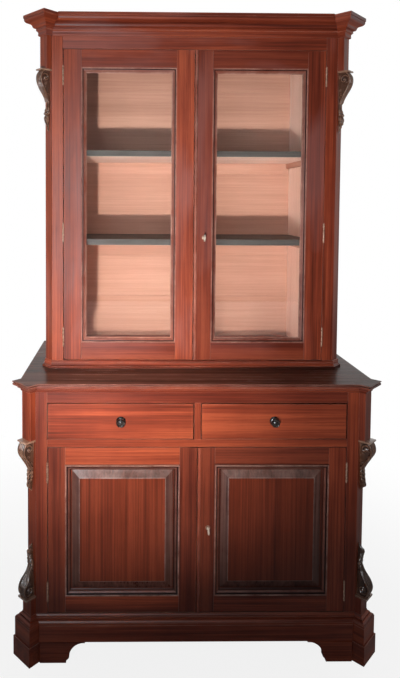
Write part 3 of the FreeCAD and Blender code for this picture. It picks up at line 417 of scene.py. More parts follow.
def finishPiece(name, parts, *nodes, smooth=40, flat=True):
    # joins the parts into one piece that stands for the nodes
    selectOnly(*parts)
    if len(parts) > 1:
        bpy.ops.object.join()
    piece = bpy.context.object
    piece.name = name
    piece.data.name = name
    bpy.ops.object.shade_smooth_by_angle(angle=math.radians(smooth))
    if flat:  # broad faces keep their own direction beside rounded edges
        modifier = piece.modifiers.new("WeightedNormal", "WEIGHTED_NORMAL")
        modifier.weight = 100
        modifier.keep_sharp = True
        bpy.ops.object.modifier_apply(modifier=modifier.name)
    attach(piece, bodyOf[nodes[0]])
    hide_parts(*nodes)
    return piece


# outlines
def quarterArc(start, end, way, steps=7):
    # points of a quarter circle from start to end, bulging to the right of its chord where way is 1
    chord = end - start
    right = Vector((chord.y, -chord.x)) * 0.5
    centre = (start + end) / 2 - right * way
    first, last = start - centre, end - centre
    turns = [math.pi / 2 * number / steps for number in range(1, steps)]
    return [centre + first * math.cos(turn) + last * math.sin(turn) for turn in turns] + [end]


def section(members, height, way):
    # a moulding from the wall outward; members are a shape, a step out and a rise in millimetres
    bulges = {"round": way, "cove": -way}
    points = [Vector((0, height))]
    for shape, out, rise in members:
        end = points[-1] + Vector((out, rise * way)) * mm
        points += quarterArc(points[-1], end, bulges[shape]) if shape in bulges else [end]
    return points


def casePath(case, stepped=True):
    half, cant, step, front = (case[key] for key in ("half", "cant", "step", "front"))
    turn, out = cant * diagonal, step * diagonal
    right = [Vector((half, front))]
    if stepped:
        right += [Vector((half + out, front - out)), Vector((half + turn + out, front + turn - out))]
    right.append(Vector((half + turn, front + turn)))
    right.append(Vector((half + turn, backY)))
    return [Vector((-spot.x, spot.y)) for spot in reversed(right)] + right


def onFloor(spot, height):
    return Vector((spot.x, spot.y, height))


def onFace(face):
    return lambda spot, height: Vector((spot.x, face - height, spot.y))


def markWearAndShade(piece, start, side, marks):
    # bands across a moulding, as distances out in millimetres with a value: bare wood and painted highlight
    # above 0, painted shade below it
    wear = piece.data.attributes["wear"]
    for face, mark in zip(piece.data.polygons, wear.data):
        out = (face.center - start).dot(side) / mm
        for low, high, value in marks:
            if low <= out < high:
                mark.value = value


def grainOf(way):
    sizes = [abs(number) for number in way]
    if max(sizes) > 0.9:
        return "XYZ"[sizes.index(max(sizes))]
    return "rising" if way.x * way.y > 0 else "falling"


def mitredRun(path, outline, place, look="mahogany", ease=0.5 * mm, closed=False, skip=(), worn=0.8,
              marks=()):
    # lengths of a section along a path, each cut to its mitres
    count = len(path) if closed else len(path) - 1
    ways = [(path[(number + 1) % len(path)] - path[number]).normalized() for number in range(count)]
    spare = 0.12
    flat = place(Vector((0, 0)), 0)
    parts = []
    for number, way in enumerate(ways):
        if number in skip:
            continue
        start, end = path[number], path[(number + 1) % len(path)]
        side = Vector((way.y, -way.x))
        corners = [place(start - way * spare + side * spot.x, spot.y) for spot in outline]
        sweep = place(way * ((end - start).length + 2 * spare), 0) - flat
        part = prism(corners, sweep)
        before = ways[number - 1] if closed or number > 0 else way
        after = ways[(number + 1) % count] if closed or number < count - 1 else way
        trim(part, place(start, 0), place(before + way, 0) - flat, False)
        trim(part, place(end, 0), place(way + after, 0) - flat, True)
        easeEdges(part, ease, sweep.normalized(), worn=worn)
        markWearAndShade(part, place(start, 0), place(side, 0) - flat, marks)
        parts.append(giveWood(part, look, grainOf(sweep.normalized())))
    return parts


def bar(low, high, inner, outer):
    return [Vector(spot) for spot in ((inner, low), (outer, low), (outer, high), (inner, high))]


# feet and plinth
footShape = {"inner": 0.003, "outer": 0.023, "wing": 0.166, "hollow": 0.053, "toe": 0.010, "neck": 0.024,
             "toeHeight": 0.007, "heel": 0.060, "ease": 1.6 * mm, "spare": 0.1}


def footWing(tip, way, reach):
    # a bracket from its tip to the corner, with a hollow curve under it
    top, hollow, toe, low = levels["footTop"], footShape["hollow"], footShape["toe"], footShape["toeHeight"]
    side = Vector((way.y, -way.x))
    outline = [Vector((0, top))]
    outline += quarterArc(outline[0], Vector((hollow, footShape["neck"])), -1, 10)
    outline += [Vector(spot) for spot in ((hollow, low + toe), (hollow + toe, low), (hollow + toe, 0),
                                          (reach, 0), (reach, top))]
    corners = [onFloor(tip + way * spot.x + side * footShape["inner"], spot.y) for spot in outline]
    return prism(corners, onFloor(side * (footShape["outer"] - footShape["inner"]), 0))


def mirroredCopy(part):
    selectOnly(part)
    bpy.ops.object.duplicate()
    copy = bpy.context.object
    copy.data.transform(Matrix.Scale(-1, 4, Vector((1, 0, 0))))
    outwardNormals(copy)
    return copy


def bracketFeet():
    path = casePath(lowerCase)
    corner = path[len(path) // 2:]
    wing = footShape["wing"]
    right, back = Vector((1, 0)), Vector((0, 1))
    run = [corner[0] - right * wing] + corner[:-1] + [corner[-2] + back * wing]
    front = bar(0, levels["footTop"], footShape["inner"], footShape["outer"])
    parts = mitredRun(run, front, onFloor, ease=footShape["ease"], skip=(0, 4))
    first = footWing(run[0], right, wing + footShape["spare"])
    trim(first, onFloor(run[1], 0), onFloor(right + (run[2] - run[1]).normalized(), 0), True)
    last = footWing(run[-1], -back, wing + footShape["spare"])
    for vertex in last.data.vertices:  # its outside faces the other way along the side
        vertex.co.x = 2 * run[-1].x - vertex.co.x
    outwardNormals(last)
    trim(last, onFloor(run[-2], 0), onFloor(back + (run[-2] - run[-3]).normalized(), 0), False)
    rear = footWing(corner[-1] - back * wing, back, wing)
    heel = block((corner[-1].x + footShape["inner"] - footShape["heel"], backY - boardThick["side"], 0),
                 (corner[-1].x + footShape["inner"], backY, levels["footTop"]))
    for part, grain in ((first, "X"), (last, "Y"), (rear, "Y"), (heel, "X")):
        easeEdges(part, footShape["ease"], worn=0.8)
        parts.append(giveWood(part, "mahogany", grain))
    parts += [mirroredCopy(part) for part in parts]
    finishPiece("bracketFeet", parts, "bracket_feet")


bracketFeet()
plinth = {"inner": -0.008, "outer": 0.019}
lowerPath = casePath(lowerCase)
plinthFace = bar(levels["footTop"], levels["plinthTop"], plinth["inner"], plinth["outer"])
plinthRun = mitredRun(lowerPath, plinthFace, onFloor, ease=0.8 * mm)
sideX = lowerPath[-1].x + plinth["inner"]
plinthRun.append(plank((-sideX, backY - boardThick["side"], levels["footTop"]),
                       (sideX, backY, levels["plinthTop"]), "rough"))
finishPiece("plinthBoards", plinthRun, "plinth_boards")
plinthMembers = [("flat", 1, 0), ("cove", 7, 9), ("flat", 0, 6), ("round", 10, 8), ("flat", 1, 0),
                 ("flat", 0, 8)]


def wallMoulding(name, members, height, way, path, node, look="mahogany"):
    outline = section(members, height, way)
    outline.append(Vector((0, outline[-1].y)))
    finishPiece(name, mitredRun(path, outline, onFloor, look), node)


wallMoulding("plinthMoulding", plinthMembers, levels["floor"], -1, lowerPath, "plinth_moulding")
print("feet and plinth done")


# carcasses
def uprights(outline, low, high, ease):
    # a board of this plan at each end of the front
    parts = []
    for side in (1, -1):
        part = prism([Vector((spot.x * side, spot.y, low)) for spot in outline], upward * (high - low))
        easeEdges(part, ease)
        parts.append(giveWood(part, "mahogany", "Z"))
    return parts


def cornerPost(case, low, high):
    first, last = casePath(case, False)[-3:-1]
    rear = case["front"] + boardThick["post"]
    return uprights([first, last, Vector((last.x, rear)), Vector((first.x, rear))], low, high, 0.7 * mm)


def cornerBlock(case, low, high):
    path = casePath(case)
    return uprights(path[len(path) // 2:-1], low, high, 1.0 * mm)


drawerRail = {"low": 0.726, "high": 0.752, "top": 0.875, "muntin": 0.011}
faceY = (lowerCase["front"], lowerCase["front"] + boardThick["frame"])
postY = lowerCase["front"] + boardThick["post"]
openX = lowerCase["open"]
cupboardFrame = cornerPost(lowerCase, levels["floor"], levels["counter"])
# the left stile and the rail under the counter take the darker edge look, painted shade
cupboardFrame += [
    plank((-lowerCase["half"], faceY[0], levels["floor"]), (-openX, faceY[1], levels["counter"]), "edge"),
    plank((openX, faceY[0], levels["floor"]), (lowerCase["half"], faceY[1], levels["counter"])),
    plank((-openX, faceY[0], drawerRail["top"]), (openX, faceY[1], levels["counter"]), "edge"),
    plank((-openX, faceY[0], drawerRail["low"]), (openX, postY, drawerRail["high"])),
    plank((-drawerRail["muntin"], faceY[0], drawerRail["high"]),
          (drawerRail["muntin"], faceY[1], drawerRail["top"]), grain="Z")]
finishPiece("cupboardFrame", cupboardFrame, "cupboard_frame")
corbelLevels = {"hung": levels["counter"] - 0.181, "stood": levels["floor"] + 0.054,
                "upper": levels["cornice"] - 0.116}
lowerBlocks = cornerBlock(lowerCase, corbelLevels["hung"], levels["counter"])
lowerBlocks += cornerBlock(lowerCase, levels["plinthTop"], corbelLevels["stood"])
finishPiece("lowerBlocks", lowerBlocks, "lower_blocks")


def sideBoards(name, node):
    low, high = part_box(node)
    inner = (high.x - boardThick["side"], low.y, low.z)
    finishPiece(name, bothSides(inner, tuple(high), grain="Z"), node)


sideBoards("cupboardSides", "cupboard_sides")
counterDrop = 0.020
counterMembers = [("round", 3, 5), ("cove", 6, 6), ("flat", 2, 0.5), ("flat", 0, 4), ("round", 3.5, 4.5)]
wallMoulding("counterMoulding", counterMembers, levels["counter"] - counterDrop, 1, lowerPath,
             "counter_moulding", "edge")
counterWearAndShade = {"edge": 0.4, "groove": -0.8}
counterThick = (levels["counterTop"] - levels["counter"]) / mm
counterReeds = [{"over": 23, "low": 0, "high": 7.5, "ease": 2.4},
                {"over": 20, "low": 7, "high": 11, "ease": 0.4},
                {"over": 24, "low": 10.5, "high": counterThick, "ease": 2.4}]


def counterLayer(reed):
    # the plan of the lower case, grown by the overhang
    over = reed["over"] * mm
    inner = over * (math.sqrt(2) - 1)
    half, cant, step, front = (lowerCase[key] for key in ("half", "cant", "step", "front"))
    turn, out, tip = cant * diagonal, step * diagonal, over * math.sqrt(2)
    right = [(half - inner, front - over), (half + out, front - out - tip),
             (half + turn + out + tip, front + turn - out), (half + turn + over, front + turn + inner),
             (half + turn + over, backY)]
    outline = [Vector((x, y, levels["counter"] + reed["low"] * mm)) for x, y in right]
    outline += [Vector((-spot.x, spot.y, spot.z)) for spot in reversed(outline)]
    part = prism(outline, upward * (reed["high"] - reed["low"]) * mm)
    easeEdges(part, reed["ease"] * mm, steps=3, worn=counterWearAndShade["edge"])
    if reed["ease"] < 1:  # the groove between the two rounds gets painted shade
        wear = part.data.attributes["wear"]
        wear.data.foreach_set("value", [counterWearAndShade["groove"]] * len(part.data.polygons))
    giveWood(part, "edge", "X")
    part.data.materials.append(wood("counter", "X"))  # the top has its own greyer colour, partly a painted sheen
    for face in part.data.polygons:
        face.material_index = int(face.normal.z > 0.9)
    return part


finishPiece("counterTop", [counterLayer(reed) for reed in counterReeds], "counter_top")

upperY = (upperCase["front"], upperCase["front"] + boardThick["frame"])
doorGap = 0.002
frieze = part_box("bookcase_left_door_frame")[1].z + doorGap
bookcaseFrame = cornerPost(upperCase, levels["bookcaseFloor"], levels["lid"])
bookcaseFrame += bothSides((upperCase["open"], upperY[0], levels["bookcaseFloor"]),
                           (upperCase["half"], upperY[1], levels["lid"]))
bookcaseFrame.append(plank((-upperCase["open"], upperY[0], frieze),
                           (upperCase["open"], upperY[1], levels["lid"])))
finishPiece("bookcaseFrame", bookcaseFrame, "bookcase_frame")
finishPiece("upperBlocks", cornerBlock(upperCase, corbelLevels["upper"], levels["top"]), "upper_blocks")
sideBoards("bookcaseSides", "bookcase_sides")
corniceMembers = [("flat", 2.5, 0), ("round", 2, 7), ("flat", 0.5, 2), ("cove", 5, 10), ("flat", 0, 8),
                  ("round", 9, 8), ("flat", 3, 6), ("flat", 6, 3), ("round", 12, 18), ("flat", 2, 0),
                  ("flat", 0, 11)]
wallMoulding("corniceMoulding", corniceMembers, levels["cornice"], 1, casePath(upperCase), "cornice_moulding")
baseMembers = [("flat", 1, 0), ("round", 2.5, 6), ("flat", 1, 2), ("cove", 5, 11), ("flat", 1.5, 1),
               ("flat", 0, 7)]
wallMoulding("baseMoulding", baseMembers, levels["bookcaseFloor"], -1, casePath(upperCase, False),
             "base_moulding")
print("carcasses and mouldings done")


# inside of the bookcase, and the backs
def boardedBack(name, node, count):
    low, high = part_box(node)
    step = (high.z - low.z) / count
    parts = [plank((low.x, low.y, low.z + step * number), (high.x, high.y, low.z + step * (number + 1)),
                   "lining", ease=1.2 * mm) for number in range(count)]
    finishPiece(name, parts, node)


boardedBack("bookcaseBack", "bookcase_back_boards", 7)
boardedBack("cupboardBack", "cupboard_back_boards", 5)
liningThick, shelfThick = 0.016, 0.022
low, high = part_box("bookcase_linings")
linings = bothSides((high.x - liningThick, low.y, low.z), tuple(high), look="litLining", grain="Z")
finishPiece("bookcaseLinings", linings, "bookcase_linings")
low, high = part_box("bookcase_shelves")
shelves = []
for base in (low.z, high.z - shelfThick):
    shelf = plank((low.x, low.y, base), (high.x, high.y, base + shelfThick), look="shelf", ease=1.5 * mm)
    shelf.data.materials.append(wood("litLining", "X"))  # only the edge and the top are stained; the underside takes the paler lining look, a painted light
    for face in shelf.data.polygons:
        face.material_index = int(face.normal.z < -0.7)
    shelves.append(shelf)
finishPiece("bookcaseShelves", shelves, "bookcase_shelves")
print("inside done")


# drawers
# the fronts have dropped a little
drawerGap = {"low": Vector((0.6, 0, 0.6)) * mm, "high": Vector((2.2, 0, 2.2)) * mm}
for side in ("left", "right"):
    low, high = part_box(f"{side}_drawer_front")
    front = plank(low + drawerGap["low"], high - drawerGap["high"], ease=0.9 * mm)
    finishPiece(f"{side}DrawerFront", [front], f"{side}_drawer_front")

knobTurning = {"steps": 40, "outline": [
    (0, 0), (16, 0), (16.2, 1.2), (15.4, 2.6), (13.2, 3.2), (12.6, 4.0), (10.5, 4.6), (8.2, 5.6), (6.9, 7.2),
    (6.5, 9), (6.9, 10.6), (8.6, 11.8), (11.6, 12.8), (13.8, 14.4), (14.9, 16.6), (15.0, 18.4), (14.4, 20.4),
    (13.1, 22.0), (11.6, 22.9), (10.9, 22.6), (10.4, 21.7), (9.2, 21.4), (7.4, 21.8), (6.4, 22.4),
    (5.4, 23.0), (3.6, 23.4), (1.8, 23.5), (0, 23.5)]}


def turned(outline, steps, centre, axis):
    # an outline of radius and height in millimetres, spun round its axis
    deselectAll()
    bpy.ops.mesh.primitive_circle_add(vertices=len(outline), fill_type="NOTHING")
    piece = bpy.context.object
    across = Vector((1, 0, 0))
    for vertex, (radius, height) in zip(piece.data.vertices, outline):
        vertex.co = centre + across * (radius * mm) + axis * (height * mm)
    startEdit(piece)
    bpy.ops.mesh.spin(steps=steps, angle=2 * math.pi, center=centre, axis=axis)
    bpy.ops.mesh.select_all(action="SELECT")
    bpy.ops.mesh.remove_doubles(threshold=0.00002)
    bpy.ops.mesh.dissolve_degenerate(threshold=0.000001)
    bpy.ops.mesh.normals_make_consistent(inside=False)
    endEdit()
    return piece


for side in ("left", "right"):
    low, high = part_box(f"{side}_drawer_knob")
    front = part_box(f"{side}_drawer_front")[0].y
    centre = Vector(((low.x + high.x) / 2, front, (low.z + high.z) / 2))
    part = turned(knobTurning["outline"], knobTurning["steps"], centre, Vector((0, -1, 0)))
    part.data.materials.append(ebony)
    finishPiece(f"{side}DrawerKnob", [part], f"{side}_drawer_knob", smooth=50, flat=False)
print("drawers done")


# doors
# the edge and darker looks given to some members below are painted shade
doorRows = {
    "bookcase": {"member": 0.063, "proud": 0.002, "seat": 0.012, "strip": 0.009, "infill": 0.003,
                 "mould": [("round", 4, 1), ("flat", 0, 2.5), ("round", 11, 7), ("flat", 3, 0.5)],
                 "looks": {"left": ["mahogany", "mahogany", "edge", "mahogany"],
                           "right": ["edge", "mahogany", "edge", "edge"]},
                 "mouldLook": "edge", "beadWear": 0.3,
                 # pale bands on the beads are wear and painted highlight; the bands below 0 are painted shade
                 # in the quirk and sight edge
                 "marks": ((0.2, 4.1, 0.75), (4.1, 9, -1), (9, 14.5, 0.35), (14.5, 19, 0.9))},
    "cupboard": {"member": 0.058, "proud": 0.005, "seat": 0.011, "strip": 0.009, "infill": 0.006,
                 "mould": [("round", 5, 1), ("flat", 0, 3), ("round", 12, 8), ("flat", 3, 1)],
                 "looks": {"left": ["aged", "aged", "mahogany", "mahogany"],
                           "right": ["aged", "mahogany", "mahogany", "aged"]},
                 "mouldLook": "aged", "beadWear": 0.15,
                 # pale bands on the beads are wear and painted highlight; the bands below 0 are painted shade
                 # in the quirk and sight edge
                 "marks": ((0.2, 4.2, 0.95), (4.9, 8.5, -1), (8.5, 15, 0.3), (15, 20.5, -0.7))},
}
panelShape = {"edge": 0.006, "foot": 0.021, "bevel": 0.0245, "rise": 0.0078, "fillet": 0.0022, "step": 0.0012}
panelWearAndSheen = {"fillet": 0.5, "up": 0.24, "aside": 0.05, "down": 0.0}
bead = {"width": 0.011, "steps": 14, "round": 0.7}


def doorFrame(low, high, member, looks):
    # two stiles from left to right, then two rails from the bottom up
    parts = []
    for ends, look in zip(((low.x, low.x + member), (high.x - member, high.x)), looks[:2]):
        parts.append(plank((ends[0], low.y, low.z), (ends[1], high.y, high.z), look, "Z"))
    for ends, look in zip(((low.z, low.z + member), (high.z - member, high.z)), looks[2:]):
        parts.append(plank((low.x + member, low.y, ends[0]), (high.x - member, high.y, ends[1]), look, "X"))
    return parts


def doorMoulding(low, high, row):
    # the left, top, right and bottom lengths, then the strips behind them in the same order
    member = row["member"]
    x, z = (low.x + member, high.x - member), (low.z + member, high.z - member)
    path = [Vector((x[0], z[0])), Vector((x[0], z[1])), Vector((x[1], z[1])), Vector((x[1], z[0]))]
    outline = section(row["mould"], row["proud"], -1)
    outline += [Vector((outline[-1].x, -row["seat"])), Vector((0, -row["seat"]))]
    face = onFace(low.y)
    parts = mitredRun(path, outline, face, row["mouldLook"], 0.7 * mm, closed=True, marks=row["marks"])
    strip = bar(low.y - high.y, -row["seat"] - row["infill"], 0, row["strip"])
    return parts + mitredRun(path, strip, face, ease=0.6 * mm, closed=True, worn=0)


def raisedPanel(name, node):
    low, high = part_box(node)
    part = block((low.x, high.y - panelShape["edge"], low.z), tuple(high))
    startEdit(part, "FACE")
    bpy.ops.mesh.select_all(action="DESELECT")
    mesh = bmesh.from_edit_mesh(part.data)
    for face in mesh.faces:
        face.select = face.normal.y < -0.9
    bmesh.update_edit_mesh(part.data)
    bpy.ops.mesh.inset(thickness=panelShape["foot"], depth=0)
    bpy.ops.mesh.inset(thickness=panelShape["bevel"], depth=panelShape["rise"])
    bpy.ops.mesh.inset(thickness=panelShape["fillet"], depth=panelShape["step"])
    endEdit()
    easeEdges(part, 0.4 * mm)
    giveWood(part, "panel", "Z")
    part.data.materials.append(wood("bevel", "Z"))
    for face, mark in zip(part.data.polygons, part.data.attributes["wear"].data):
        slope = max(abs(face.normal.x), abs(face.normal.z))
        if face.normal.y < -0.5 and slope > 0.2:  # the bevels take a grey painted sheen, palest on the top bevel as painted highlight, and the fillet is worn
            face.material_index = 1
            lean = "up" if face.normal.z > 0.2 else "down" if face.normal.z < -0.2 else "aside"
            mark.value = panelWearAndSheen["fillet" if slope > 0.4 else lean]
    finishPiece(name, [part], node, smooth=12)


def meetingBead(name, node, worn):
    low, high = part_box(node)
    base = Vector(((low.x + high.x) / 2, high.y, low.z))
    half, depth = bead["width"] / 2, high.y - low.y
    outline = []
    for number in range(bead["steps"] + 1):
        turn = math.pi * number / bead["steps"]
        outline.append(base + Vector((half * math.cos(turn), -depth * math.sin(turn) ** bead["round"], 0)))
    part = prism(outline, upward * (high.z - low.z))
    # the whole bead is pale, partly wear and partly a painted highlight
    wear = part.data.attributes.new("wear", "FLOAT", "FACE")
    wear.data.foreach_set("value", [worn] * len(part.data.polygons))
    finishPiece(name, [giveWood(part, "mahogany", "Z")], node)


for rowName, row in doorRows.items():
    for side in ("left", "right"):
        base = f"{rowName}_{side}_door_"
        title = rowName + side.capitalize() + "Door"
        low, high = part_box(base + "frame")
        boards = doorFrame(low, high, row["member"], row["looks"][side])
        moulds = doorMoulding(low, high, row)
        if title == "bookcaseLeftDoor":  # its hinge side shades the inside, and is a piece of its own
            finishPiece("bookcaseHingeSide", [boards.pop(0), moulds.pop(4), moulds.pop(0)], base + "frame",
                        base + "moulding")
        finishPiece(title + "Frame", boards, base + "frame")
        finishPiece(title + "Moulding", moulds, base + "moulding")
        if rowName == "cupboard":
            raisedPanel(title + "Panel", base + "panel")
    meetingBead(rowName + "MeetingBead", rowName + "_meeting_bead", row["beadWear"])
print("doors done")

# keys
keyShape = {"stem": 12 * mm, "bow": 10.8 * mm, "wire": 2.3 * mm, "oval": 0.82, "steps": 20,
            "bit": ((-1.2, 25.5, 0), (1.2, 31.5, 8))}
shank = [(0, 34), (2.0, 34), (2.6, 33.4), (2.6, 0.5), (2.6, -3.4), (4.2, -3.6), (4.2, -5.4), (3.0, -6.2),
         (3.0, -7.4), (3.9, -8.0), (3.9, -9.2), (2.6, -10.0), (2.2, -12.6), (0, -12.8)]
keySpots = {joint["child"]: Vector(joint["pos_m"]) for joint in frame["record"]["behaviour"]["joints"]
            if joint["child"].endswith("_key")}
for rowName in ("bookcase", "cupboard"):
    spot = keySpots[rowName + "_key"]
    stemEnd = spot.y - keyShape["stem"]
    parts = [turned(shank, keyShape["steps"], spot, Vector((0, 1, 0)))]
    deselectAll()
    bpy.ops.mesh.primitive_torus_add(major_radius=keyShape["bow"], minor_radius=keyShape["wire"],
                                     major_segments=40, minor_segments=14, rotation=(0, math.pi / 2, 0),
                                     location=spot - Vector((0, keyShape["stem"] + keyShape["bow"], 0)))
    bpy.ops.object.transform_apply(location=True, rotation=True, scale=True)
    ring = bpy.context.object
    for vertex in ring.data.vertices:  # an oval bow, wider than it is long
        vertex.co.y = stemEnd + (vertex.co.y - stemEnd) * keyShape["oval"]
    parts += [ring, block(*(spot + Vector(corner) * mm for corner in keyShape["bit"]))]
    for part in parts:
        part.data.materials.append(keyMetal)
    finishPiece(rowName + "Key", parts, rowName + "_key", smooth=50, flat=False)
print("keys done")

# carved corbels: reach, across and drop in millimetres; widths are a drop and a share of the full width
lowerForm = {
    "outer": [(30, 4), (38, 11), (43, 22), (44.5, 33), (42.5, 45), (36, 57), (27, 69), (18.5, 81), (12.5, 92),
              (9.5, 102), (10, 112), (12, 124), (14.5, 136), (17.5, 147), (20, 156), (17.5, 161), (13, 163),
              (9, 167), (5, 173), (1, 179)],
    "widths": [(0, 1), (58, 1), (92, 0.62), (120, 0.72), (150, 0.46), (180, 0.18)],
    "neck": 97, "halfWidth": 20, "coil": (21, 30), "leg": [(9.5, 101), (14, 90), (20, 79), (27, 67.5)],
    "volute": (8.5, 84), "leafTips": [(104, 11), (117, 11), (130, 10), (142, 8)], "beads": [],
}
upperForm = {
    "outer": [(28, 4), (37, 11), (43, 21), (45, 32), (43.5, 45), (38, 58), (31, 70), (24, 82), (16.5, 93),
              (11, 103), (8.5, 115), (8, 128), (9.5, 140), (13, 149), (19.5, 157), (12.5, 160), (15, 164),
              (18.5, 171), (17.5, 180), (13, 189), (8.5, 195), (6.5, 202), (4.5, 209), (1, 216)],
    "widths": [(0, 1), (60, 1), (104, 0.66), (134, 0.60), (154, 0.86), (161, 0.62), (173, 0.70), (190, 0.50),
               (217, 0.2)],
    "neck": 112, "halfWidth": 16, "coil": (21, 31), "leg": [(9, 112), (12, 100), (19, 87), (27, 72)],
    "volute": (8.5, 91), "leafTips": [(146, 10), (158, 9), (172, 8), (184, 6)],
    "beads": [(7.5, 197, 4), (5.5, 207, 3.2)],
}
# coil and volute: first and last radius, turn, first angle and count; an eye is the size of its middle
carveShape = {"voxel": 0.85 * mm, "keep": 0.38, "rim": 2.6, "sunk": 6.2, "inset": 2.4, "overlap": 8,
              "reeds": (-0.42, 0, 0.42), "reedInset": 1.9, "reedWidth": 0.15, "ribInset": 0.6, "proud": 1.2,
              "coil": (25, 3.4, 512, 62), "swell": (2.0, 1.9, 0.12, 22), "coilEye": (4.4, 3.6, 4.4),
              "volute": (8.5, 2, 400, 70, 18), "voluteWire": 2.5, "voluteEye": (2.8, 2.6, 2.8)}
# a rib that thins from the first to the second radius, and lobes that lean out from it
leafShape = {"rib": (2.8, 1.2, 0.1), "lobe": (4.6, 3.6), "reach": 0.62, "across": 0.82, "lean": 30, "near": 9,
             "veins": (1.9, 1.7, 1.0)}


def smoothed(points, steps=6):
    # a curve through the points
    ends = [points[0]] + list(points) + [points[-1]]
    found = []
    for a, b, c, d in zip(ends, ends[1:], ends[2:], ends[3:]):
        for number in range(steps):
            t = number / steps
            found.append(tuple(0.5 * (2 * q + (r - p) * t + (2 * p - 5 * q + 4 * r - s) * t * t
                                      + (3 * q - p - 3 * r + s) * t ** 3) for p, q, r, s in zip(a, b, c, d)))
    return found + [tuple(points[-1])]


def tube(spots, radii):
    # a round bead along a path, made as a curve and turned into a mesh
    deselectAll()
    bpy.ops.curve.primitive_nurbs_path_add()
    thing = bpy.context.object
    curve = thing.data
    curve.splines.clear()
    spline = curve.splines.new("NURBS")
    spline.points.add(len(spots) - 1)
    for point, spot, radius in zip(spline.points, spots, radii):
        point.co = (*(number * mm for number in spot), 1)
        point.radius = radius * mm
    spline.order_u = 4
    spline.use_endpoint_u = True
    spline.resolution_u = 5
    curve.bevel_depth = 1
    curve.bevel_resolution = 3
    curve.use_fill_caps = True
    bpy.ops.object.convert(target="MESH")
    return bpy.context.object


def lobe(spot, size, lean=0):
    deselectAll()
    bpy.ops.mesh.primitive_uv_sphere_add(segments=20, ring_count=14, radius=1)
    part = bpy.context.object
    part.data.transform(Matrix.Translation(Vector(spot) * mm) @ Matrix.Rotation(math.radians(lean), 4, "X")
                        @ Matrix.Diagonal((*(number * mm for number in size), 1)))
    return part


def widthShare(widths, drop):
    for (low, first), (high, last) in zip(widths, widths[1:]):
        if drop <= high:
            share = max(0, (drop - low) / (high - low))
            return first + (last - first) * share * share * (3 - 2 * share)
    return widths[-1][1]


def coilPath(centre, start, end, turn, first, count=34):
    # a spiral that winds inward from the first angle
    found = []
    for number in range(count):
        share = number / (count - 1)
        radius = start * (end / start) ** share
        angle = math.radians(first - turn * share)
        found.append((centre[0] + radius * math.cos(angle), centre[1] + radius * math.sin(angle)))
    return found


def carveCorbel(form):
    # body, beads, coils and leaves are run together into one carved skin
    wide, outer, shape = form["halfWidth"], form["outer"], carveShape
    sunk, rim, overlap = shape["sunk"], shape["rim"], shape["overlap"]
    outline = [(-1, outer[-1][1]), (-1, outer[0][1])]
    outline += [(max(reach - shape["inset"], 0), drop) for reach, drop in smoothed(outer)]
    parts = [prism([Vector((reach, sunk - wide, drop)) * mm for reach, drop in outline],
                   Vector((0, 2 * (wide - sunk), 0)) * mm)]
    sweep = [spot for spot in outer if spot[1] <= form["neck"] + overlap]
    leaf = [spot for spot in outer if spot[1] >= form["neck"] - overlap]
    for across in shape["reeds"]:  # reeds down the face of the scroll
        parts.append(tube([(reach - shape["reedInset"], across * wide, drop) for reach, drop in sweep],
                          [wide * shape["reedWidth"]] * len(sweep)))
    thick, thin, taper = leafShape["rib"]
    tips = [max(thin, thick - taper * number) for number in range(len(leaf))]
    parts.append(tube([(reach - shape["ribInset"], 0, drop) for reach, drop in leaf], tips))
    coil = form["leg"] + coilPath(form["coil"], *shape["coil"])
    base, more, first, count = shape["swell"]
    swell = [base + more * math.sin(math.pi * min(1, first + number / count)) for number in range(len(coil))]
    curl = coilPath(form["volute"], *shape["volute"])
    for side in (1, -1):
        face = side * (wide - sunk + shape["proud"])
        parts.append(tube([(reach - rim, side * (wide - rim), drop) for reach, drop in sweep],
                          [rim] * len(sweep)))
        for name, path, radii in (("coil", coil, swell), ("volute", curl, [shape["voluteWire"]] * len(curl))):
            parts.append(tube([(reach, face, drop) for reach, drop in path], radii))
            parts.append(lobe((form[name][0], face, form[name][1]), shape[name + "Eye"]))
        for drop, length in form["leafTips"]:  # pointed lobes that fan out from the middle rib
            reach = min(spot[0] for spot in outer if abs(spot[1] - drop) < leafShape["near"])
            middle = (reach * leafShape["reach"], side * wide * leafShape["across"], drop - 1)
            parts.append(lobe(middle, (*leafShape["lobe"], length), side * leafShape["lean"]))
            parts.append(tube([(reach + 1.5, 0, drop + 5), (reach + 1.4, side * wide * 0.45, drop - 1),
                               (reach * 0.75, side * wide * 0.95, drop - length)], leafShape["veins"]))
    for reach, drop, radius in form["beads"]:
        parts.append(lobe((reach, 0, drop), (radius, radius * 1.5, radius)))
    selectOnly(*parts)
    bpy.ops.object.join()
    piece = bpy.context.object
    outwardNormals(piece)
    for kind, settings in (("REMESH", {"mode": "VOXEL", "voxel_size": shape["voxel"]}),
                           ("SMOOTH", {"factor": 0.5, "iterations": 1}),
                           ("DECIMATE", {"ratio": shape["keep"]})):
        modifier = piece.modifiers.new(kind.capitalize(), kind)
        for name, value in settings.items():
            setattr(modifier, name, value)
        bpy.ops.object.modifier_apply(modifier=modifier.name)
    for vertex in piece.data.vertices:  # narrower towards the leaf, and flat against the post
        spot = vertex.co
        spot.y *= widthShare(form["widths"], spot.z / mm)
        spot.x = max(spot.x, 0)
    return piece


capShape = {"over": 0.0015, "reach": 0.041, "thick": 0.006, "ease": 1.9 * mm}


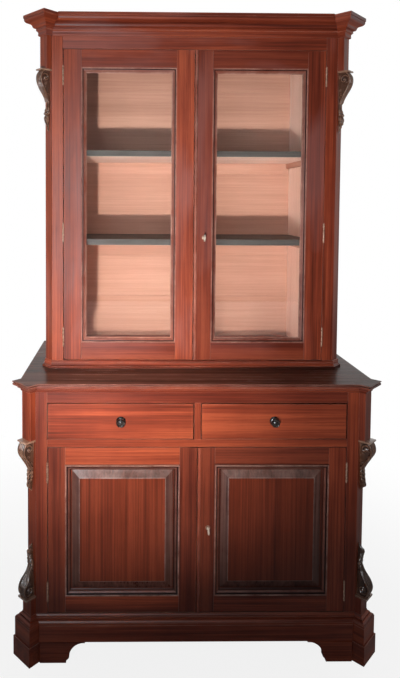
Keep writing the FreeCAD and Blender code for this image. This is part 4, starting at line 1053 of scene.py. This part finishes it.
def placeCorbel(master, case, height, side, way):
    # sets a copy on a corner cut under its cap; way is -1 for one that hangs and 1 for one that stands
    selectOnly(master)
    bpy.ops.object.duplicate()
    part = bpy.context.object
    middle, half = case["cant"] / 2 * diagonal, case["cant"] / 2 + capShape["over"]
    cap = block((0, -half, 0), (capShape["reach"], half, capShape["thick"]))
    easeEdges(cap, capShape["ease"], steps=3)
    matrix = Matrix.Identity(4)
    out, along = Vector((diagonal * side, -diagonal, 0)), Vector((diagonal * side, diagonal, 0))
    for column, direction in enumerate((out, along, upward * way)):
        for line in range(3):
            matrix[line][column] = direction[line]
    matrix.translation = Vector((side * (case["half"] + middle), case["front"] + middle, height))
    for piece in (part, cap):
        piece.data.transform(matrix)
        outwardNormals(piece)
        piece.data.materials.append(carving)
    return [part, cap]


masters = {"lower": carveCorbel(lowerForm), "upper": carveCorbel(upperForm)}
corbels = {"lower": [], "upper": []}
for side in (1, -1):
    corbels["lower"] += placeCorbel(masters["lower"], lowerCase, corbelLevels["hung"], side, -1)
    corbels["lower"] += placeCorbel(masters["lower"], lowerCase, corbelLevels["stood"], side, 1)
    corbels["upper"] += placeCorbel(masters["upper"], upperCase, corbelLevels["upper"], side, -1)
for master in masters.values():
    bpy.data.objects.remove(master)
for row, parts in corbels.items():
    piece = finishPiece(row + "Corbels", parts, row + "_corbels", smooth=60, flat=False)
    print(row, "corbels have", sum(len(face.vertices) - 2 for face in piece.data.polygons), "triangles")
print("corbels done")

# pieces of the frame that keep their shape
kept = {"bookcase_floor": wood("mahogany", "X"), "bookcase_top": wood("rough", "X"),
        "cupboard_floor": wood("rough", "X"), "cupboard_shelf": wood("shelf", "X"),
        "shelf_bearers": wood("lining", "Y")}
keptSlots = {"glass": glass, "brass": brass, "drawer_lining": wood("drawerWood", "Y")}
for name, node in cadNodes.items():
    material = kept.get(name) or keptSlots.get(slotOf[name])
    if material:
        node.data.materials.clear()
        node.data.materials.append(material)
print("kept pieces dressed")

# floor, light and camera
deselectAll()
floorShape = {"size": 14, "height": -0.0005}
bpy.ops.mesh.primitive_plane_add(size=floorShape["size"], location=(0, 0, floorShape["height"]))
floor = bpy.context.object
floor.name = "studioFloor"


def seenRays(tree, *kinds):
    # 1 for rays of these kinds and 0 for the others
    path = addNode(tree, "LightPath")
    seen = path.outputs[f"Is {kinds[0]} Ray"]
    for kind in kinds[1:]:
        seen = calculate(tree, "MAXIMUM", seen, path.outputs[f"Is {kind} Ray"])
    return seen


paper, tree, shader, place = newMaterial("palePaper", Roughness=0.9, Specular_IOR_Level=0.1)
feed(tree, shader, Base_Color=greys(tree, stretched(tree, place, (3, 3, 3), 3), (0.3, 0.84), (0.7, 0.88)))
away = addNode(tree, "VectorMath", operation="LENGTH")
tree.links.new(place, away.inputs[0])
fade = feed(tree, addNode(tree, "MapRange", interpolation_type="SMOOTHSTEP"), Value=away.outputs["Value"],
            From_Min=0.5, From_Max=1.9, To_Min=0.86, To_Max=1.0)  # the cabinet's shadow shows near it
shown = calculate(tree, "MULTIPLY", seenRays(tree, "Camera", "Transmission"), fade.outputs["Result"])
blendShaders(tree, shown, shader.outputs["BSDF"], addNode(tree, "Emission").outputs["Emission"])
floor.data.materials.append(paper)

rearLamp = {"aim": (0, 0, 1.1), "size": (1.6, 1.6), "power": 30, "tint": (1, 0.98, 0.96), "spread": 180,
            "lights": True, "shines": False}
lamps = {
    "keyLamp": {"place": (-0.52, -2.5, 0.85), "aim": (-0.14, 0.0, 1.55), "size": (0.07, 0.07), "power": 10.6,
                "tint": (1, 0.95, 0.90), "spread": 62, "lights": True, "shines": False},
    "lowLamp": {"place": (-0.5, -2.5, 1.75), "aim": (-0.32, -0.265, 0.87), "size": (0.12, 0.12), "power": 2.5,
                "tint": (1, 0.95, 0.90), "spread": 30, "lights": True, "shines": False},
    "glintLamp": {"place": (-0.75, -2.5, 1.3), "aim": (-0.5, 0, 1.3), "size": (0.24, 1.7), "power": 50,
                  "tint": (0.90, 0.95, 1), "spread": 180, "lights": False, "shines": True},
    "leftRearLamp": {"place": (-3.2, 2.4, 2.2), **rearLamp},
    "rightRearLamp": {"place": (3.2, 2.4, 2.2), **rearLamp},
    "roomLamp": {"place": (-0.4, -3.6, 4.3), "aim": (0, 0, 1.3), "size": (2.4, 2.4), "power": 16,
                 "tint": (0.97, 0.98, 1), "spread": 180, "lights": True, "shines": True},
}
for name, lamp in lamps.items():
    bpy.ops.object.light_add(type="AREA", location=lamp["place"])
    thing = bpy.context.object
    thing.name = name
    thing.data.shape = "RECTANGLE"
    thing.data.size, thing.data.size_y = lamp["size"]
    thing.data.energy = lamp["power"]
    thing.data.color = lamp["tint"]
    thing.data.spread = math.radians(lamp["spread"])
    thing.visible_diffuse = lamp["lights"]
    thing.visible_glossy = thing.visible_transmission = lamp["shines"]  # no bright square in the panes
    thing.rotation_euler = (Vector(lamp["aim"]) - Vector(lamp["place"])).to_track_quat("-Z", "Y").to_euler()

# the key light falls past most bars of the glazed doors, so that the shelves shade the inside
passed = bpy.data.collections.new("passedByKeyLight")
for piece in bpy.data.objects:
    if piece.name.startswith(("bookcaseLeftDoor", "bookcaseRightDoor", "bookcaseMeeting")):
        passed.objects.link(piece)
for entry in passed.collection_objects:
    entry.light_linking.link_state = "EXCLUDE"
bpy.data.objects["keyLamp"].light_linking.blocker_collection = passed

# the backdrop is white behind the cabinet, and the room in front of it is dim
backdrop = {"fill": (0.95, 0.96, 1), "strength": 0.06, "edge": -0.1}
world = bpy.data.worlds.new("studioWorld")
world.use_nodes = True
bpy.context.scene.world = world
tree = world.node_tree
fill = feed(tree, tree.nodes["Background"], Color=backdrop["fill"], Strength=backdrop["strength"])
white = feed(tree, addNode(tree, "Background"), Color=(1, 1, 1))
facing = feed(tree, addNode(tree, "SeparateXYZ"), Vector=addNode(tree, "TexCoord").outputs["Generated"])
behind = calculate(tree, "GREATER_THAN", facing.outputs["Y"], backdrop["edge"])
mirrored = calculate(tree, "MULTIPLY", seenRays(tree, "Glossy", "Transmission"), behind)
blendShaders(tree, calculate(tree, "MAXIMUM", seenRays(tree, "Camera"), mirrored), fill.outputs["Background"],
             white.outputs["Background"], "World Output")

view = {"place": (-0.2325, lowerCase["front"] - 1.8931, 1.5404), "turn": (87.50, -0.27, -0.70), "lens": 30.64,
        "shift": (0.0943, -0.1635), "sensor": 36, "near": 0.05}
bpy.ops.object.camera_add(location=view["place"], rotation=[math.radians(angle) for angle in view["turn"]])
camera = bpy.context.object
camera.name = "photoCamera"
camera.data.lens = view["lens"]
camera.data.sensor_width = view["sensor"]
camera.data.shift_x, camera.data.shift_y = view["shift"]
camera.data.clip_start = view["near"]
bpy.context.scene.camera = camera
bpy.context.scene.view_settings.view_transform = "Standard"
